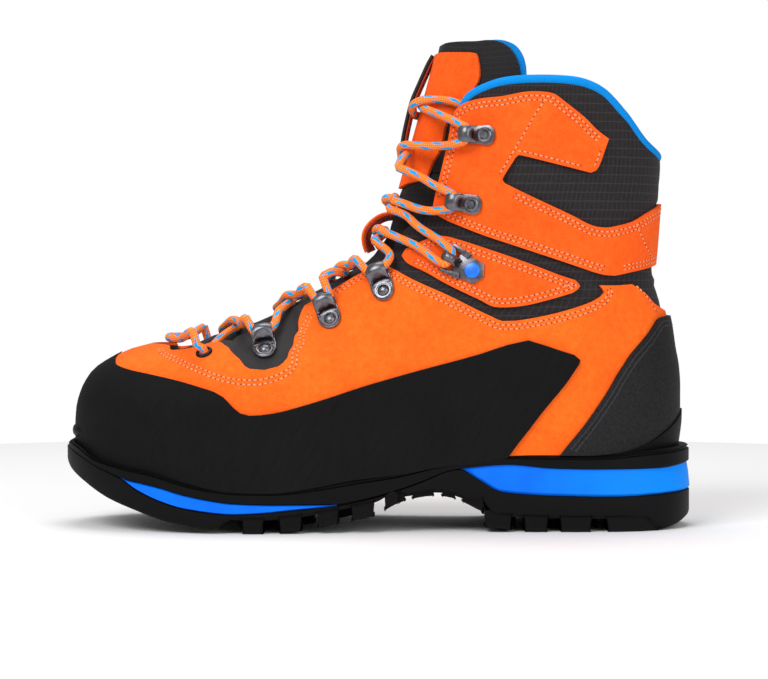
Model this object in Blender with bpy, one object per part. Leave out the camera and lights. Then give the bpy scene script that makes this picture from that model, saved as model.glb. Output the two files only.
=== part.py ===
"""Left mountaineering boot, laced, standing on its sole. Millimetres inside, metres in the scene.

Frame: +Z up, toe towards -X, heel towards +X, outer (lateral) side towards -Y. The origin is on the
ground under the middle of the boot. The upper is a stack of closed horizontal rings, from the welt to
the collar. A place on a ring is its turn: 0 on the front ridge (toe, instep, shin), 1 down the back,
negative on the outer side. Every panel is a patch of that surface, at its own height off it.
"""

import math

import bmesh
import bpy
from mathutils import Matrix, Vector

MM = 0.001

# Whole boot. BOX_MIDDLE is the middle of the finished boot in plan, which becomes the origin
TOE_X, HEEL_X = -152.4, 151.6
BOX_MIDDLE = (-0.4, 4.162)
GAP = 0.6
CHART_WIDTH = 150.0

# Joints, as (x, height) of an axis that runs across the boot, and the pieces that move on each
ANKLE_AXIS = (92, 118)
CUFF_PIECES = ("ankle_gusset", "ankle_strap", "collar_binding", "cuff_foam", "cuff_shell", "tongue_shaft",
               "tongue_patch_low", "pull_strap")
TONGUE_FOLD_AXIS = (23, 203)
TONGUE_END_PIECES = ("tongue_top", "tongue_patch_top")
FOOTBED_TOE_AXIS = (-134, 38.5)

# Lines of the upper, as (height, x): the front ridge and the back, and as (x or height, half width)
FRONT_RIDGE = [(15, -141), (30, -143.5), (46, -145), (56, -144.5), (64.5, -142.3), (72, -138.5), (78, -132.7),
               (82, -126), (84.5, -119.5), (86.5, -111.5), (88.5, -102.4), (91.7, -87.7), (94.1, -75.5),
               (96.8, -65.7), (99.8, -57.8), (105.9, -46), (112.3, -34.3), (119.6, -21.6), (127.2, -8.3),
               (134.3, -0.5), (142.2, 4.4), (151.5, 7.6), (160.1, 10), (173.5, 13.7), (190.5, 18.6),
               (208, 23.4), (225, 27.8), (240, 31)]
BACK_LINE = [(15, 139), (30, 141), (40, 142), (54, 143.5), (68, 143.5), (78, 142.8), (85.3, 141.4),
             (98.4, 139.4), (113.3, 135.6), (124, 133.2), (137.7, 134.2), (157, 135.6), (175, 137), (200, 136),
             (220, 134), (240, 132)]
FOOT_HALF_WIDTH = [(-150, 48), (-110, 50.5), (-70, 52), (-30, 48), (10, 42.5), (50, 38.5), (90, 36), (140, 34)]
LEG_HALF_WIDTH = [(40, 38), (90, 37.5), (130, 39.5), (180, 43), (240, 45)]
FRONT_ROUNDING = [(15, 95), (60, 100), (75, 130), (90, 190), (110, 165), (140, 125), (190, 105), (240, 100)]
BACK_ROUNDING = [(15, 66), (60, 66), (120, 74), (190, 84), (240, 84)]
TOE_SWING = 7.0

# Sole, as (x, height) lines seen from the side, and its plan half width
GROUND_LINE = [(-153, 34), (-151, 31), (-143, 21.6), (-131, 14), (-104, 5), (-80, 0.6), (-70, 0), (-40, 0),
               (-19, 4), (-2, 8), (10, 13), (18, 17), (27, 18), (37, 16), (46, 11), (51, 0.6), (56, 0),
               (128, 0), (152, 4)]
TREAD_DEPTH = [(-153, 1.5), (-130, 2), (-100, 5), (-80, 6), (-20, 6), (5, 3), (18, 1), (40, 1.5), (52, 6),
               (130, 6), (152, 5)]
RUBBER_TOP = [(-153, 38), (-145, 36), (-135, 31), (-123, 24.7), (-112, 18.7), (-101, 14.4), (-87, 11),
              (-71, 9), (-58, 9.2), (-43, 10.5), (-19, 13.4), (0, 20), (20, 26.5), (39, 29.6), (49, 24),
              (59, 18.7), (83, 17.2), (113, 16.8), (152, 17.4)]
INSERT_TOP = [(-123, 24.7), (-110, 21.8), (-94, 17.9), (-79, 14.8), (-69, 13.8), (-48, 13.4), (-19, 13.6)]
WEDGE_TOP = [(39, 30), (45, 31), (62, 32), (83, 30.4), (103, 29.8), (130, 29.8), (152, 30.4)]
WELT_LINE = [(-153, 39), (-146, 38), (-138, 34), (-124, 30), (-110, 27), (-94, 23), (-79, 20.4), (-63, 19.4),
             (-48, 19.6), (-33, 21.4), (-12, 25), (10, 28), (31, 31.6), (45, 33), (61, 35), (104, 35.4),
             (127, 38), (152, 39)]
SOLE_HALF_WIDTH = [(-150, 50), (-110, 54), (-70, 55.6), (-30, 52), (10, 46), (50, 42.5), (100, 41), (150, 40)]
SOLE_TOE_ROUNDING, SOLE_HEEL_ROUNDING = 84.0, 58.0
INSERT_X, WEDGE_X = (-120.0, -22.0), (41.5, 151.4)

# Heights off the ring surface, from the foot outwards
FOOT_LINING = (-3.6, -0.4)
OVERLAY = (0.8, 2.2)
COVER = (3.5, 4.7)
CUFF_WALL = (-2.6, 0.2)
CUFF_FOAM = (-7.6, -3.4)
STRAP = (1.1, 2.4)
STIFFENER = (-6.4, -5.0)
TONGUE_DEPTH_INSTEP, TONGUE_DEPTH_SHAFT = 4.6, 9.6
CELL_TURN, CELL_HEIGHT = 0.0667, 12.0


def curve_value(knots, at):
    """Value at a place on a smooth line through knots, which are (place, value) pairs in rising order."""
    places = [knot[0] for knot in knots]
    values = [knot[1] for knot in knots]
    if at <= places[0]:
        return values[0]
    if at >= places[-1]:
        return values[-1]
    steps = [b - a for a, b in zip(places, places[1:])]
    rises = [(b - a) / step for a, b, step in zip(values, values[1:], steps)]
    first = max(i for i in range(len(steps)) if places[i] <= at)

    def slope(knot):
        if knot == 0:
            return rises[0]
        if knot == len(steps):
            return rises[-1]
        before, after = rises[knot - 1], rises[knot]
        return 2 * before * after / (before + after) if before * after > 0 else 0.0

    step = steps[first]
    s = (at - places[first]) / step
    return (
        (2 * s**3 - 3 * s**2 + 1) * values[first]
        + (s**3 - 2 * s**2 + s) * slope(first) * step
        + (3 * s**2 - 2 * s**3) * values[first + 1]
        + (s**3 - s**2) * slope(first + 1) * step
    )


def ease(low, high, at):
    """0 below low, 1 above high, smooth between."""
    share = min(1.0, max(0.0, (at - low) / (high - low)))
    return share * share * (3 - 2 * share)


def round_end(distance, length):
    """Share of the full width at a distance from a rounded end that is length long."""
    share = min(1.0, max(0.0, distance / length))
    return math.sqrt(1 - (1 - share) ** 3)


def middle_y(x):
    """The boot's plan centreline: the toe swings towards the inner side."""
    return TOE_SWING * (1 - ease(-150, 30, x))


def half_width(x, z, side):
    """Half width of the ring at height z, on side -1 (outer) or 1 (inner)."""
    foot, leg = curve_value(FOOT_HALF_WIDTH, x), curve_value(LEG_HALF_WIDTH, z)
    full = foot + (leg - foot) * ease(55, 140, z)
    toe_share = 1 - ease(80, 130, z)
    rounding = curve_value(FRONT_ROUNDING, z) * (1 + (0.10 if side < 0 else -0.12) * toe_share)
    front = round_end(x - curve_value(FRONT_RIDGE, z), rounding)
    back = round_end(curve_value(BACK_LINE, z) - x, curve_value(BACK_ROUNDING, z))
    return full * front * back


def ring_point(turn, z):
    """A point of the ring at height z."""
    front, back = curve_value(FRONT_RIDGE, z), curve_value(BACK_LINE, z)
    x = front + (back - front) * (1 - math.cos(math.pi * turn)) / 2
    side = 1 if math.sin(math.pi * turn) >= 0 else -1
    return Vector((x, middle_y(x) + side * half_width(x, z, side), z))


def on_upper(turn, z, height):
    """A point this high off the ring surface, along its normal."""
    along = ring_point(turn + 0.012, z) - ring_point(turn - 0.012, z)
    up = ring_point(turn, z + 0.8) - ring_point(turn, z - 0.8)
    return ring_point(turn, z) + up.cross(along).normalized() * height


def turn_at(x, z):
    """The turn, from 0 to 1, of the place seen at x and z from the side."""
    front, back = curve_value(FRONT_RIDGE, z), curve_value(BACK_LINE, z)
    share = min(1.0, max(0.0, (x - front) / (back - front)))
    return math.acos(1 - 2 * share) / math.pi


def seen_from_side(places):
    """(turn, height) of places given as (x, height); an x of None is the front ridge, and inf the back."""
    found = []
    for x, z in places:
        turn = 0.0 if x is None else 1.0 if x == math.inf else turn_at(x, z)
        found.append((turn, z))
    return found


def split_at(half, turn):
    """The same closed line, started and ended at its two neighbouring places on a mirror line."""
    on_line = [place[0] == turn for place in half]
    start = next((i for i in range(1, len(half)) if on_line[i] and on_line[i - 1]), 0)
    return half[start:] + half[:start]


def round_the_front(places):
    """Closed outline of a panel that runs over the front ridge, from its outer half."""
    half = split_at(seen_from_side(places), 0.0)
    outer = [(-turn, z) for turn, z in half]
    inner = [(turn, z) for turn, z in reversed(half) if turn > 0]
    return outer + inner


def round_the_back(places):
    """Closed outline of a panel that runs round the back, from its outer half."""
    half = split_at(seen_from_side(places), 1.0)
    outer = [(2 - turn, z) for turn, z in half]
    inner = [(turn, z) for turn, z in reversed(half) if turn < 1]
    return outer + inner


def all_round(bottom, top):
    """Closed outline of a panel that runs all the way round, cut open down the front ridge."""
    low, high = seen_from_side(bottom), seen_from_side(top)
    low_line = low + [(2 - turn, z) for turn, z in reversed(low[:-1])]
    high_line = high + [(2 - turn, z) for turn, z in reversed(high[:-1])]
    return low_line + high_line[::-1]


def one_side(places, side):
    """Closed outline of a panel that stays on one side."""
    return [(side * turn, z) for turn, z in seen_from_side(places)]


def smooth(places, pieces=3):
    """Places along a smooth line through the given ones."""
    count = len(places)
    at = [i / pieces for i in range((count - 1) * pieces + 1)]
    first = [(i, place[0]) for i, place in enumerate(places)]
    second = [(i, place[1]) for i, place in enumerate(places)]
    return [(curve_value(first, t), curve_value(second, t)) for t in at]


def heights(value):
    """A height off the surface, as a function of turn and z."""
    return value if callable(value) else lambda turn, z: value


def link(name, bm, colour, roughness=0.8, metallic=0.0):
    """Makes a finished bmesh in millimetres into a named object in metres."""
    bmesh.ops.recalc_face_normals(bm, faces=bm.faces)
    if bm.calc_volume(signed=True) < 0:
        bmesh.ops.reverse_faces(bm, faces=bm.faces)
    bmesh.ops.translate(bm, vec=(-BOX_MIDDLE[0], -BOX_MIDDLE[1], 0), verts=bm.verts)
    bmesh.ops.scale(bm, vec=(MM, MM, MM), verts=bm.verts)
    mesh = bpy.data.meshes.new(name)
    bm.to_mesh(mesh)
    bm.free()
    obj = bpy.data.objects.new(name, mesh)
    bpy.context.scene.collection.objects.link(obj)
    mesh.shade_smooth()
    mesh.set_sharp_from_angle(angle=math.radians(35))
    mesh.materials.append(material(colour, roughness, metallic))
    return obj


def material(colour, roughness, metallic):
    """A plain material, made once for each colour and finish."""
    name = f"{colour}_{roughness}_{metallic}"
    found = bpy.data.materials.get(name)
    if found:
        return found
    made = bpy.data.materials.new(name)
    made.use_nodes = True
    shader = made.node_tree.nodes["Principled BSDF"]
    shader.inputs["Base Color"].default_value = (*COLOURS[colour], 1)
    shader.inputs["Roughness"].default_value = roughness
    shader.inputs["Metallic"].default_value = metallic
    return made


COLOURS = {
    "orange_suede": (0.93, 0.16, 0.01),
    "black_rubber": (0.02, 0.02, 0.022),
    "black_fabric": (0.035, 0.032, 0.035),
    "blue_foam": (0.0, 0.2, 0.95),
    "blue_lining": (0.0, 0.35, 0.9),
    "board": (0.45, 0.4, 0.33),
    "gunmetal": (0.12, 0.12, 0.13),
}


def flat_patch(outline, lines_x, lines_y):
    """A flat patch inside an outline of (x, y) points, cut along lines of constant x and constant y."""
    bm = bmesh.new()
    bm.faces.new([bm.verts.new((x, y, 0)) for x, y in outline])
    for axis, lines in ((Vector((1, 0, 0)), lines_x), (Vector((0, 1, 0)), lines_y)):
        for at in lines:
            everything = bm.verts[:] + bm.edges[:] + bm.faces[:]
            bmesh.ops.bisect_plane(bm, geom=everything, dist=1e-4, plane_co=axis * at, plane_no=axis)
    return bm


def lines_between(values, step):
    """Even lines, step apart and through zero, that cross a range of values."""
    low, high = min(values), max(values)
    return [n * step for n in range(math.ceil(low / step), math.floor(high / step) + 1)]


def thicken(bm, place_inner):
    """Closes a sheet into a solid: the copy of each point moves to where place_inner puts it."""
    marks = bm.verts.layers.float["turn"], bm.verts.layers.float["height"]
    made = bmesh.ops.extrude_face_region(bm, geom=bm.faces[:], use_keep_orig=True)
    for vert in made["geom"]:
        if isinstance(vert, bmesh.types.BMVert):
            vert.co = place_inner(vert[marks[0]], vert[marks[1]])
    return bm


def solid_patch(outline, outer, inner, lines_x, lines_y):
    """A closed solid between two placements of the same flat patch; each maps (x, y) to a point."""
    bm = flat_patch(outline, lines_x, lines_y)
    first = bm.verts.layers.float.new("turn")
    second = bm.verts.layers.float.new("height")
    for vert in bm.verts:
        vert[first], vert[second] = vert.co.x, vert.co.y
        vert.co = outer(vert.co.x, vert.co.y)
    bmesh.ops.remove_doubles(bm, verts=bm.verts, dist=0.02)
    return thicken(bm, inner)


def panel(name, outline, layer, colour, cell_turn=CELL_TURN, cell_height=CELL_HEIGHT, roughness=0.8):
    """A panel of the upper between two heights off the ring surface."""
    inner, outer = heights(layer[0]), heights(layer[1])
    chart = [(turn * CHART_WIDTH, z) for turn, z in outline]
    lines_x = lines_between([turn for turn, z in chart], cell_turn * CHART_WIDTH)
    lines_y = lines_between([z for turn, z in chart], cell_height)

    def at(layer_height):
        def place(across, z):
            turn = across / CHART_WIDTH
            return on_upper(turn, z, layer_height(turn, z))

        return place

    bm = solid_patch(chart, at(outer), at(inner), lines_x, lines_y)
    return link(name, bm, colour, roughness)


# --- Sole -------------------------------------------------------------------------------------------------


def sole_edge(x, side, inset=0.0):
    """y of the sole's edge."""
    toe = round_end(x - TOE_X - inset, SOLE_TOE_ROUNDING * (1.08 if side < 0 else 0.9))
    heel = round_end(HEEL_X - inset - x, SOLE_HEEL_ROUNDING)
    return middle_y(x) + side * (curve_value(SOLE_HALF_WIDTH, x) - inset) * toe * heel


def sole_outline(low_x, high_x, inset=0.0, stations=15):
    """Plan outline of the sole between two places, closer together where its ends are round."""
    low_x, high_x = max(low_x, TOE_X + inset), min(high_x, HEEL_X - inset)
    stops = [low_x + (high_x - low_x) * (1 - math.cos(math.pi * i / stations)) / 2 for i in range(stations + 1)]
    outer = [(x, sole_edge(x, -1, inset)) for x in stops]
    inner = [(x, sole_edge(x, 1, inset)) for x in reversed(stops)]
    outline = outer + inner
    return [p for i, p in enumerate(outline) if math.dist(p, outline[i - 1]) > 0.01]


def sole_layer(name, low_x, high_x, bottom, top, colour, inset=0.0, step=12.0, roughness=0.8):
    """A layer of the sole between two heights that follow x."""
    outline = sole_outline(low_x, high_x, inset)
    bm = solid_patch(
        outline,
        lambda x, y: Vector((x, y, top(x))),
        lambda x, y: Vector((x, y, bottom(x))),
        lines_between([x for x, y in outline], step),
        [],
    )
    return link(name, bm, colour, roughness)


def tread_blocks():
    """(low x, high x, inner y share, outer y share) of the tread blocks on each side of the sole."""
    edge_front = [(-97, -79), (-70, -60), (-51, -41), (-33, -24), (-17, -7), (-2, 6)]
    edge_heel = [(51, 62), (70, 79), (87, 100), (111, 127), (133, 148)]
    blocks = [(low, high, 0.56, 0.985) for low, high in edge_front + edge_heel]
    middle_front = [(-128, -112), (-104, -90), (-82, -70), (-62, -50), (-42, -30), (-22, -10)]
    blocks += [(low, high, 0.06, 0.46) for low, high in middle_front]
    blocks += [(low, high, 0.12, 0.44) for low, high in [(54, 66), (74, 86), (94, 106), (114, 130)]]
    return blocks


def outsole():
    """Black rubber outsole, with its tread blocks joined on."""

    def root(x):
        return curve_value(GROUND_LINE, x) + curve_value(TREAD_DEPTH, x)

    sole = sole_layer(
        "outsole", TOE_X, HEEL_X, root, lambda x: curve_value(RUBBER_TOP, x) - GAP, "black_rubber", step=9.0
    )
    bm = bmesh.new()
    for low, high, near, far in tread_blocks():
        for side in (-1, 1):
            middle = (low + high) / 2
            centre = middle_y(middle)
            edge = sole_edge(middle, side) - centre
            box = bmesh.ops.create_cube(bm, size=1.0)["verts"]
            for vert in box:
                is_low = vert.co.z < 0
                taper = 0.9 if is_low else 1.0
                x = middle + vert.co.x * (high - low) * taper
                share = far if vert.co.y > 0 else near
                limit = sole_edge(x, side) - centre
                reach = min(abs(edge), abs(limit)) * (1 if edge > 0 else -1)
                y = centre + reach * (share - (0.012 if is_low and vert.co.y > 0 else 0.0))
                z = curve_value(GROUND_LINE, x) if is_low else root(x) + 1.2
                vert.co = Vector((x, y, z))
    bmesh.ops.recalc_face_normals(bm, faces=bm.faces)
    blocks = link("tread_blocks_joined", bm, "black_rubber")
    blocks.hide_render = True
    blocks.display_type = "WIRE"
    join = sole.modifiers.new("Join tread", "BOOLEAN")
    join.operation = "UNION"
    join.object = blocks


def sole_unit():
    """Every layer between the ground and the foot."""
    outsole()
    sole_layer("forefoot_insert", *INSERT_X, lambda x: curve_value(RUBBER_TOP, x),
               lambda x: curve_value(INSERT_TOP, x) - GAP + 0.15, "blue_foam", inset=0.3)
    sole_layer("heel_wedge", *WEDGE_X, lambda x: curve_value(RUBBER_TOP, x) + 0.1,
               lambda x: curve_value(WEDGE_TOP, x) - GAP, "blue_foam", inset=0.3)

    def frame_bottom(x):
        over_rubber = curve_value(RUBBER_TOP, x)
        if INSERT_X[0] - 3 < x < INSERT_X[1] + 3:
            over_rubber = max(over_rubber, curve_value(INSERT_TOP, x))
        if x > 39:
            over_rubber = max(over_rubber, curve_value(WEDGE_TOP, x))
        return over_rubber + 0.2

    sole_layer("midsole_frame", TOE_X + 2.2, HEEL_X, frame_bottom, lambda x: curve_value(WELT_LINE, x) - GAP,
               "black_rubber", step=8.0, inset=1.0)
    toe_welt()
    sole_layer("shank", -75, 112, lambda x: curve_value(WELT_LINE, x) + 0.2,
               lambda x: curve_value(WELT_LINE, x) + 2.0, "gunmetal", inset=24.0, roughness=0.4)
    sole_layer("lasting_board", -138, 134, lambda x: curve_value(WELT_LINE, x) + 2.6,
               lambda x: curve_value(WELT_LINE, x) + 4.6, "board", inset=13.5)
    sole_layer("footbed", -134, 131, lambda x: curve_value(WELT_LINE, x) + 5.0,
               lambda x: curve_value(WELT_LINE, x) + 9.0 + 3.0 * ease(60, 130, x), "blue_lining", inset=16.0)


def toe_welt():
    """Hard lip round the toe, with a groove under it, that holds a crampon's toe bail."""
    stations = 14
    bm = bmesh.new()
    profile = [(0.0, 39.4), (1.2, 39.4), (2.1, 42.5), (2.2, 46.2), (1.3, 48.8), (0.0, 48.8)]
    rings = []
    for i in range(stations + 1):
        turn = (2 * i / stations - 1) * 0.135
        wall = on_upper(turn, 44.0, 0.0)
        away = on_upper(turn, 44.0, 1.0) - wall
        away = Vector((away.x, away.y, 0)).normalized()
        places = [(wall + away * (COVER[1] + 0.5 + out), z) for out, z in profile]
        rings.append([bm.verts.new((place.x, place.y, z)) for place, z in places])
    count = len(profile)
    for first, second in zip(rings, rings[1:]):
        for i in range(count):
            j = (i + 1) % count
            bm.faces.new((first[i], first[j], second[j], second[i]))
    bm.faces.new(rings[0])
    bm.faces.new(rings[-1])
    return link("toe_welt", bm, "black_rubber", 0.5)


# --- Upper: foot -------------------------------------------------------------------------------------------

# Outlines seen from the outer side, as (x, height)
WELT_SEAM = [(None, 39.5), (-143, 38.6), (-132, 33), (-118, 29.4), (-98, 24.8), (-79, 21.2), (-58, 20.2),
             (-36, 21.8), (-12, 25.8), (10, 28.8), (31, 32.4), (61, 35.8), (104, 36.2), (127, 38.8),
             (math.inf, 40.2)]
FLEX_LOW = [(None, 140), (12, 141), (30, 139.5), (45, 135.5), (63, 129), (84, 121), (98, 115.5), (115, 115),
            (math.inf, 117)]
FLEX_HIGH = [(None, 156), (12, 156), (28, 153), (41, 146.5), (63, 139), (84, 131.5), (100, 125),
             (112, 124), (124, 127), (math.inf, 131)]
COLLAR_LINE = [(36, 198), (42, 206.5), (53, 212.5), (63, 214.6), (86, 214.8), (97, 213.4), (106, 209.5),
               (117, 199), (129, 185), (math.inf, 179.5)]
THROAT = [(-103, 87), (-99, 82.6), (-92, 79.6), (-78, 79.6), (-71, 86.5), (-60, 93), (-38, 105.5),
          (-21, 114), (-7, 122), (4, 130), (9, 141)]
RAND_TOP = [(None, 84.4), (-128, 80), (-128, 75.5), (-119, 73), (-94, 69), (-77, 64.5), (-68, 58.5),
            (-58, 55.8), (-42, 58), (-9, 69), (49, 84.5), (66, 90), (80, 89), (94, 83), (95, 80), (61, 36.2)]
HEEL_COVER_EDGE = [(86, 36.4), (106, 63), (115, 78), (131, 99), (134, 101.5), (math.inf, 101.5)]
QUARTER_TOP = [(4, 128), (11, 122.5), (32, 113), (57, 101), (63, 100.2), (79, 103), (94, 107.5), (103, 111),
               (106, 113.5), (118, 113), (math.inf, 113)]
WINDOW = [(-72, 86.6), (-62, 77), (-55, 76.6), (-46, 79.6), (-42, 84), (-38, 98), (-36, 105.6)]
ANKLE_INSERT = [(12, 130.6), (14, 134), (22, 138.6), (30, 139.4), (37, 138.4), (63, 130), (87, 120.5),
                (94, 118.4), (95.5, 115.6), (91, 113.6), (70, 108.4), (60, 107), (54, 107.4), (47, 110.6),
                (25, 121.4), (13, 127.6)]
STRAP_OUTLINE = [(math.inf, 157), (128, 152), (114, 146), (108, 145), (101, 146), (91, 151), (72, 160), (60, 166),
                 (59, 167.5), (65, 178.6), (69, 179), (96, 172), (101, 171.4), (103, 173.4), (108, 184),
                 (108, 187), (97, 197), (87, 205), (80, 208), (72, 208.6), (59, 207), (49, 205.6),
                 (42, 203.4), (38, 200), (36, 196), (35, 190), (32, 176), (29, 164), (28, 156), (29, 152),
                 (32, 149), (51, 141), (63, 137), (84, 130), (104, 121.8), (112, 121), (121, 123), (133, 129),
                 (math.inf, 136)]


def instep_dip(turn, z):
    """How far the tongue lies below the ring surface over the instep, where it goes under the quarters."""
    under_vamp = 1 - ease(88.8, 93, z)
    return -TONGUE_DEPTH_INSTEP * max(under_vamp, ease(0.035, 0.11, abs(turn)))


def shaft_dip(turn, z):
    """How far the tongue lies below the ring surface in the shaft, where it goes under the cuff."""
    return -TONGUE_DEPTH_SHAFT * ease(0.08, 0.23, abs(turn))


def foot_shell():
    """Softshell layer and lining of the foot, open along the throat, at the sole and at the ankle."""
    top = [(None, 84.6)] + THROAT + FLEX_LOW[3:]
    outline = all_round(WELT_SEAM, top)
    return panel("foot_shell", outline, FOOT_LINING, "black_fabric", 0.08, 10.0)


def foot_upper():
    """Panels of the foot, from the lining outwards."""
    foot_shell()
    bottom = [(None, 43)] + [(x, z + 3.0) for x, z in WELT_SEAM[1:-1]] + [(math.inf, 43.4)]
    top = [(None, 86.6), (-101, 86), (-99, 84), (-88, 84.6), (-79, 86.4)] + WINDOW
    top += [(-35, 104.6), (-21, 112.6), (-8, 120.4), (1, 125.5)] + QUARTER_TOP
    outline = all_round(bottom, top)
    panel("vamp_and_quarters", outline, OVERLAY, "orange_suede", 0.08, 10.0)
    rand = [(None, 41.4)] + [(x, z + 0.9) for x, z in WELT_SEAM[1:11]] + [(61, 36.8)]
    rand += list(reversed(RAND_TOP[:-1]))
    panel("rand", round_the_front(rand), COVER, "black_rubber", 0.08, 10.0, 0.6)
    cover = list(HEEL_COVER_EDGE) + [(math.inf, 56), (137, 49), (127, 41.6), (112, 37.6)]
    panel("heel_cover", round_the_back(cover), COVER, "black_rubber", 0.08, 10.0, 0.7)
    strip = [(114, 37.4), (127, 40.8), (137, 48), (math.inf, 55), (math.inf, 41.4), (127, 39.4)]
    panel("heel_strip", round_the_back(strip), COVER, "black_rubber", 0.08, 8.0, 0.5)
    puff = [(None, 44), (-130, 38), (-112, 34), (-96, 40), (-98, 58), (-108, 70), (None, 80)]
    panel("toe_puff", round_the_front(puff), STIFFENER, "board", 0.08, 10.0)
    counter = [(70, 42), (78, 62), (104, 80), (math.inf, 86), (math.inf, 44), (110, 42)]
    panel("heel_counter", round_the_back(counter), STIFFENER, "board", 0.08, 10.0)
    for side, word in ((-1, "outer"), (1, "inner")):
        panel(f"ankle_insert_{word}", one_side(ANKLE_INSERT, side), OVERLAY, "orange_suede", 0.08, 10.0)
    instep = [(None, 86), (-88, 84), (-60, 89), (-38, 100), (-14, 112), (8, 124), (16, 139.4), (None, 139.4)]
    layer = (lambda t, z: instep_dip(t, z) - 3.0, lambda t, z: instep_dip(t, z) - 0.2)
    panel("tongue_instep", round_the_front(instep), layer, "black_fabric", 0.05, 10.0)


# --- Upper: cuff -------------------------------------------------------------------------------------------


def cuff():
    """Everything that swings with the ankle."""
    gusset = [(x, z + 0.5) for x, z in FLEX_LOW] + [(x, z - 0.5) for x, z in reversed(FLEX_HIGH)]
    half = seen_from_side(gusset)
    outline = [(-turn, z) for turn, z in half] + [(turn, z) for turn, z in reversed(half)]
    panel("ankle_gusset", outline, (-3.0, -0.4), "black_fabric", 0.08, 12.0)
    front_edge = [(30, 156), (33, 166), (36, 180), (38, 190)]
    wall = FLEX_HIGH[3:] + list(reversed(COLLAR_LINE)) + list(reversed(front_edge))
    panel("cuff_shell", round_the_back([(31, 154)] + wall), CUFF_WALL, "black_fabric", 0.08, 10.0)
    foam = [(44, 150), (63, 142), (84, 134.5), (100, 128), (112, 127), (124, 130), (math.inf, 134),
            (math.inf, 175), (126, 181), (115, 194), (104, 204), (90, 209), (62, 209), (50, 200), (44, 180)]
    panel("cuff_foam", round_the_back(foam), CUFF_FOAM, "blue_lining", 0.1, 12.0)
    panel("ankle_strap", round_the_back(STRAP_OUTLINE), STRAP, "orange_suede", 0.08, 10.0)
    binding = [(x, z + 0.6) for x, z in COLLAR_LINE] + [(x, z + 2.8) for x, z in reversed(COLLAR_LINE)]
    panel("collar_binding", round_the_back(binding), CUFF_WALL, "blue_lining", 0.08, 12.0)
    shaft = [(None, 157), (16, 157), (34, 159), (46, 170), (52, 186), (54, 194), (None, 201)]
    top = [(None, 205), (56, 206), (64, 214), (61, 226), (56, 232), (50, 235.6), (38, 236.6), (None, 234)]
    shaft_layer = (lambda t, z: shaft_dip(t, z) - 4.4, lambda t, z: shaft_dip(t, z) - 0.2)
    panel("tongue_shaft", round_the_front(shaft), shaft_layer, "black_fabric", 0.05, 10.0)
    panel("tongue_top", round_the_front(top), shaft_layer, "black_fabric", 0.05, 8.0)
    low_patch = [(None, 164), (12.6, 165), (20, 169), (23, 178), (26, 189), (28.6, 196), (30, 200.6),
                 (None, 200.6)]
    top_patch = [(None, 205.6), (40, 206.4), (43.6, 215), (42.6, 222), (41.4, 228), (36, 229), (None, 226)]
    patch_layer = (lambda t, z: shaft_dip(t, z) + 0.4, lambda t, z: shaft_dip(t, z) + 1.6)
    panel("tongue_patch_low", round_the_front(low_patch), patch_layer, "orange_suede", 0.05, 10.0)
    panel("tongue_patch_top", round_the_front(top_patch), patch_layer, "orange_suede", 0.05, 10.0)
    webbing_strip("pull_strap", PULL_STRAP, 3.4, 6.5, 1.6, "black_fabric")
    webbing_strip("lace_keeper", LACE_KEEPER, 0.6, 5.5, 1.4, "orange_suede")


PULL_STRAP = [(26.0, 228.6), (22.6, 224), (18.4, 214), (15.0, 205), (12.6, 196), (9.6, 186), (7.8, 179),
              (8.4, 172.6)]
LACE_KEEPER = [(4.6, 148.6), (0, 148.4), (-5.6, 146.4), (-9, 143.0), (-9.4, 138.6), (-7.6, 134.0)]


def webbing_strip(name, route, middle, half_wide, thick, colour):
    """A strip that stands off the front ridge along a route of (x, height)."""
    points = smooth(route, 2)
    bm = bmesh.new()
    rings = []
    for i, (x, z) in enumerate(points):
        before, after = points[max(0, i - 1)], points[min(len(points) - 1, i + 1)]
        along = Vector((after[0] - before[0], 0, after[1] - before[1])).normalized()
        out = Vector((along.z, 0, -along.x))
        centre = Vector((x, middle, z))
        corners = [(-half_wide, 0), (half_wide, 0), (half_wide, thick), (-half_wide, thick)]
        rings.append([bm.verts.new(centre + Vector((0, w, 0)) + out * h) for w, h in corners])
    for first, second in zip(rings, rings[1:]):
        for i in range(4):
            j = (i + 1) % 4
            bm.faces.new((first[i], first[j], second[j], second[i]))
    bm.faces.new(rings[0])
    bm.faces.new(rings[-1])
    return link(name, bm, colour)


# --- Hardware and lace -------------------------------------------------------------------------------------

SHEET = 1.2
LOOP_INNER, LOOP_RISE = 2.9, 4.1
LACE_RADIUS = 1.95
LACE_PIECE = 9.0
SEAT_GAP = 1.0
EYELET = (-83.2, 83.6)
EYELET_BORE, EYELET_RIM = 2.75, 3.9

# Folded sheet fittings on each side. Guides: name, rivet, place it points to, height of the layer under it.
# Hooks: the same, then the distance from rivet to lace, and the width at the fold
GUIDES = [("guide_toe", (-55, 88), (-57, 98), OVERLAY[1]),
          ("guide_middle", (-23, 101), (-27, 113), OVERLAY[1] + 0.6),
          ("guide_ankle", (2, 115), (-1, 127), OVERLAY[1])]
HOOKS = [("lock_hook", (45, 124), (30, 132), OVERLAY[1], 12.0, 5.0),
         ("hook_low", (45, 156), (34, 158), STRAP[1], 8.0, 4.4),
         ("hook_high", (50, 190), (40, 190), STRAP[1], 8.0, 4.4)]


def seat(place, towards, side, height):
    """Frame of a fitting on the upper: X points towards a second place, Z stands off the surface."""
    turn, aim = side * turn_at(*place), side * turn_at(*towards)
    origin = on_upper(turn, place[1], height)
    normal = (on_upper(turn, place[1], 1.0) - on_upper(turn, place[1], 0.0)).normalized()
    ahead = on_upper(aim, towards[1], height) - origin
    ahead = (ahead - normal * ahead.dot(normal)).normalized()
    across = normal.cross(ahead)
    frame = Matrix((ahead, across, normal)).transposed().to_4x4()
    return Matrix.Translation(origin) @ frame


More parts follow.
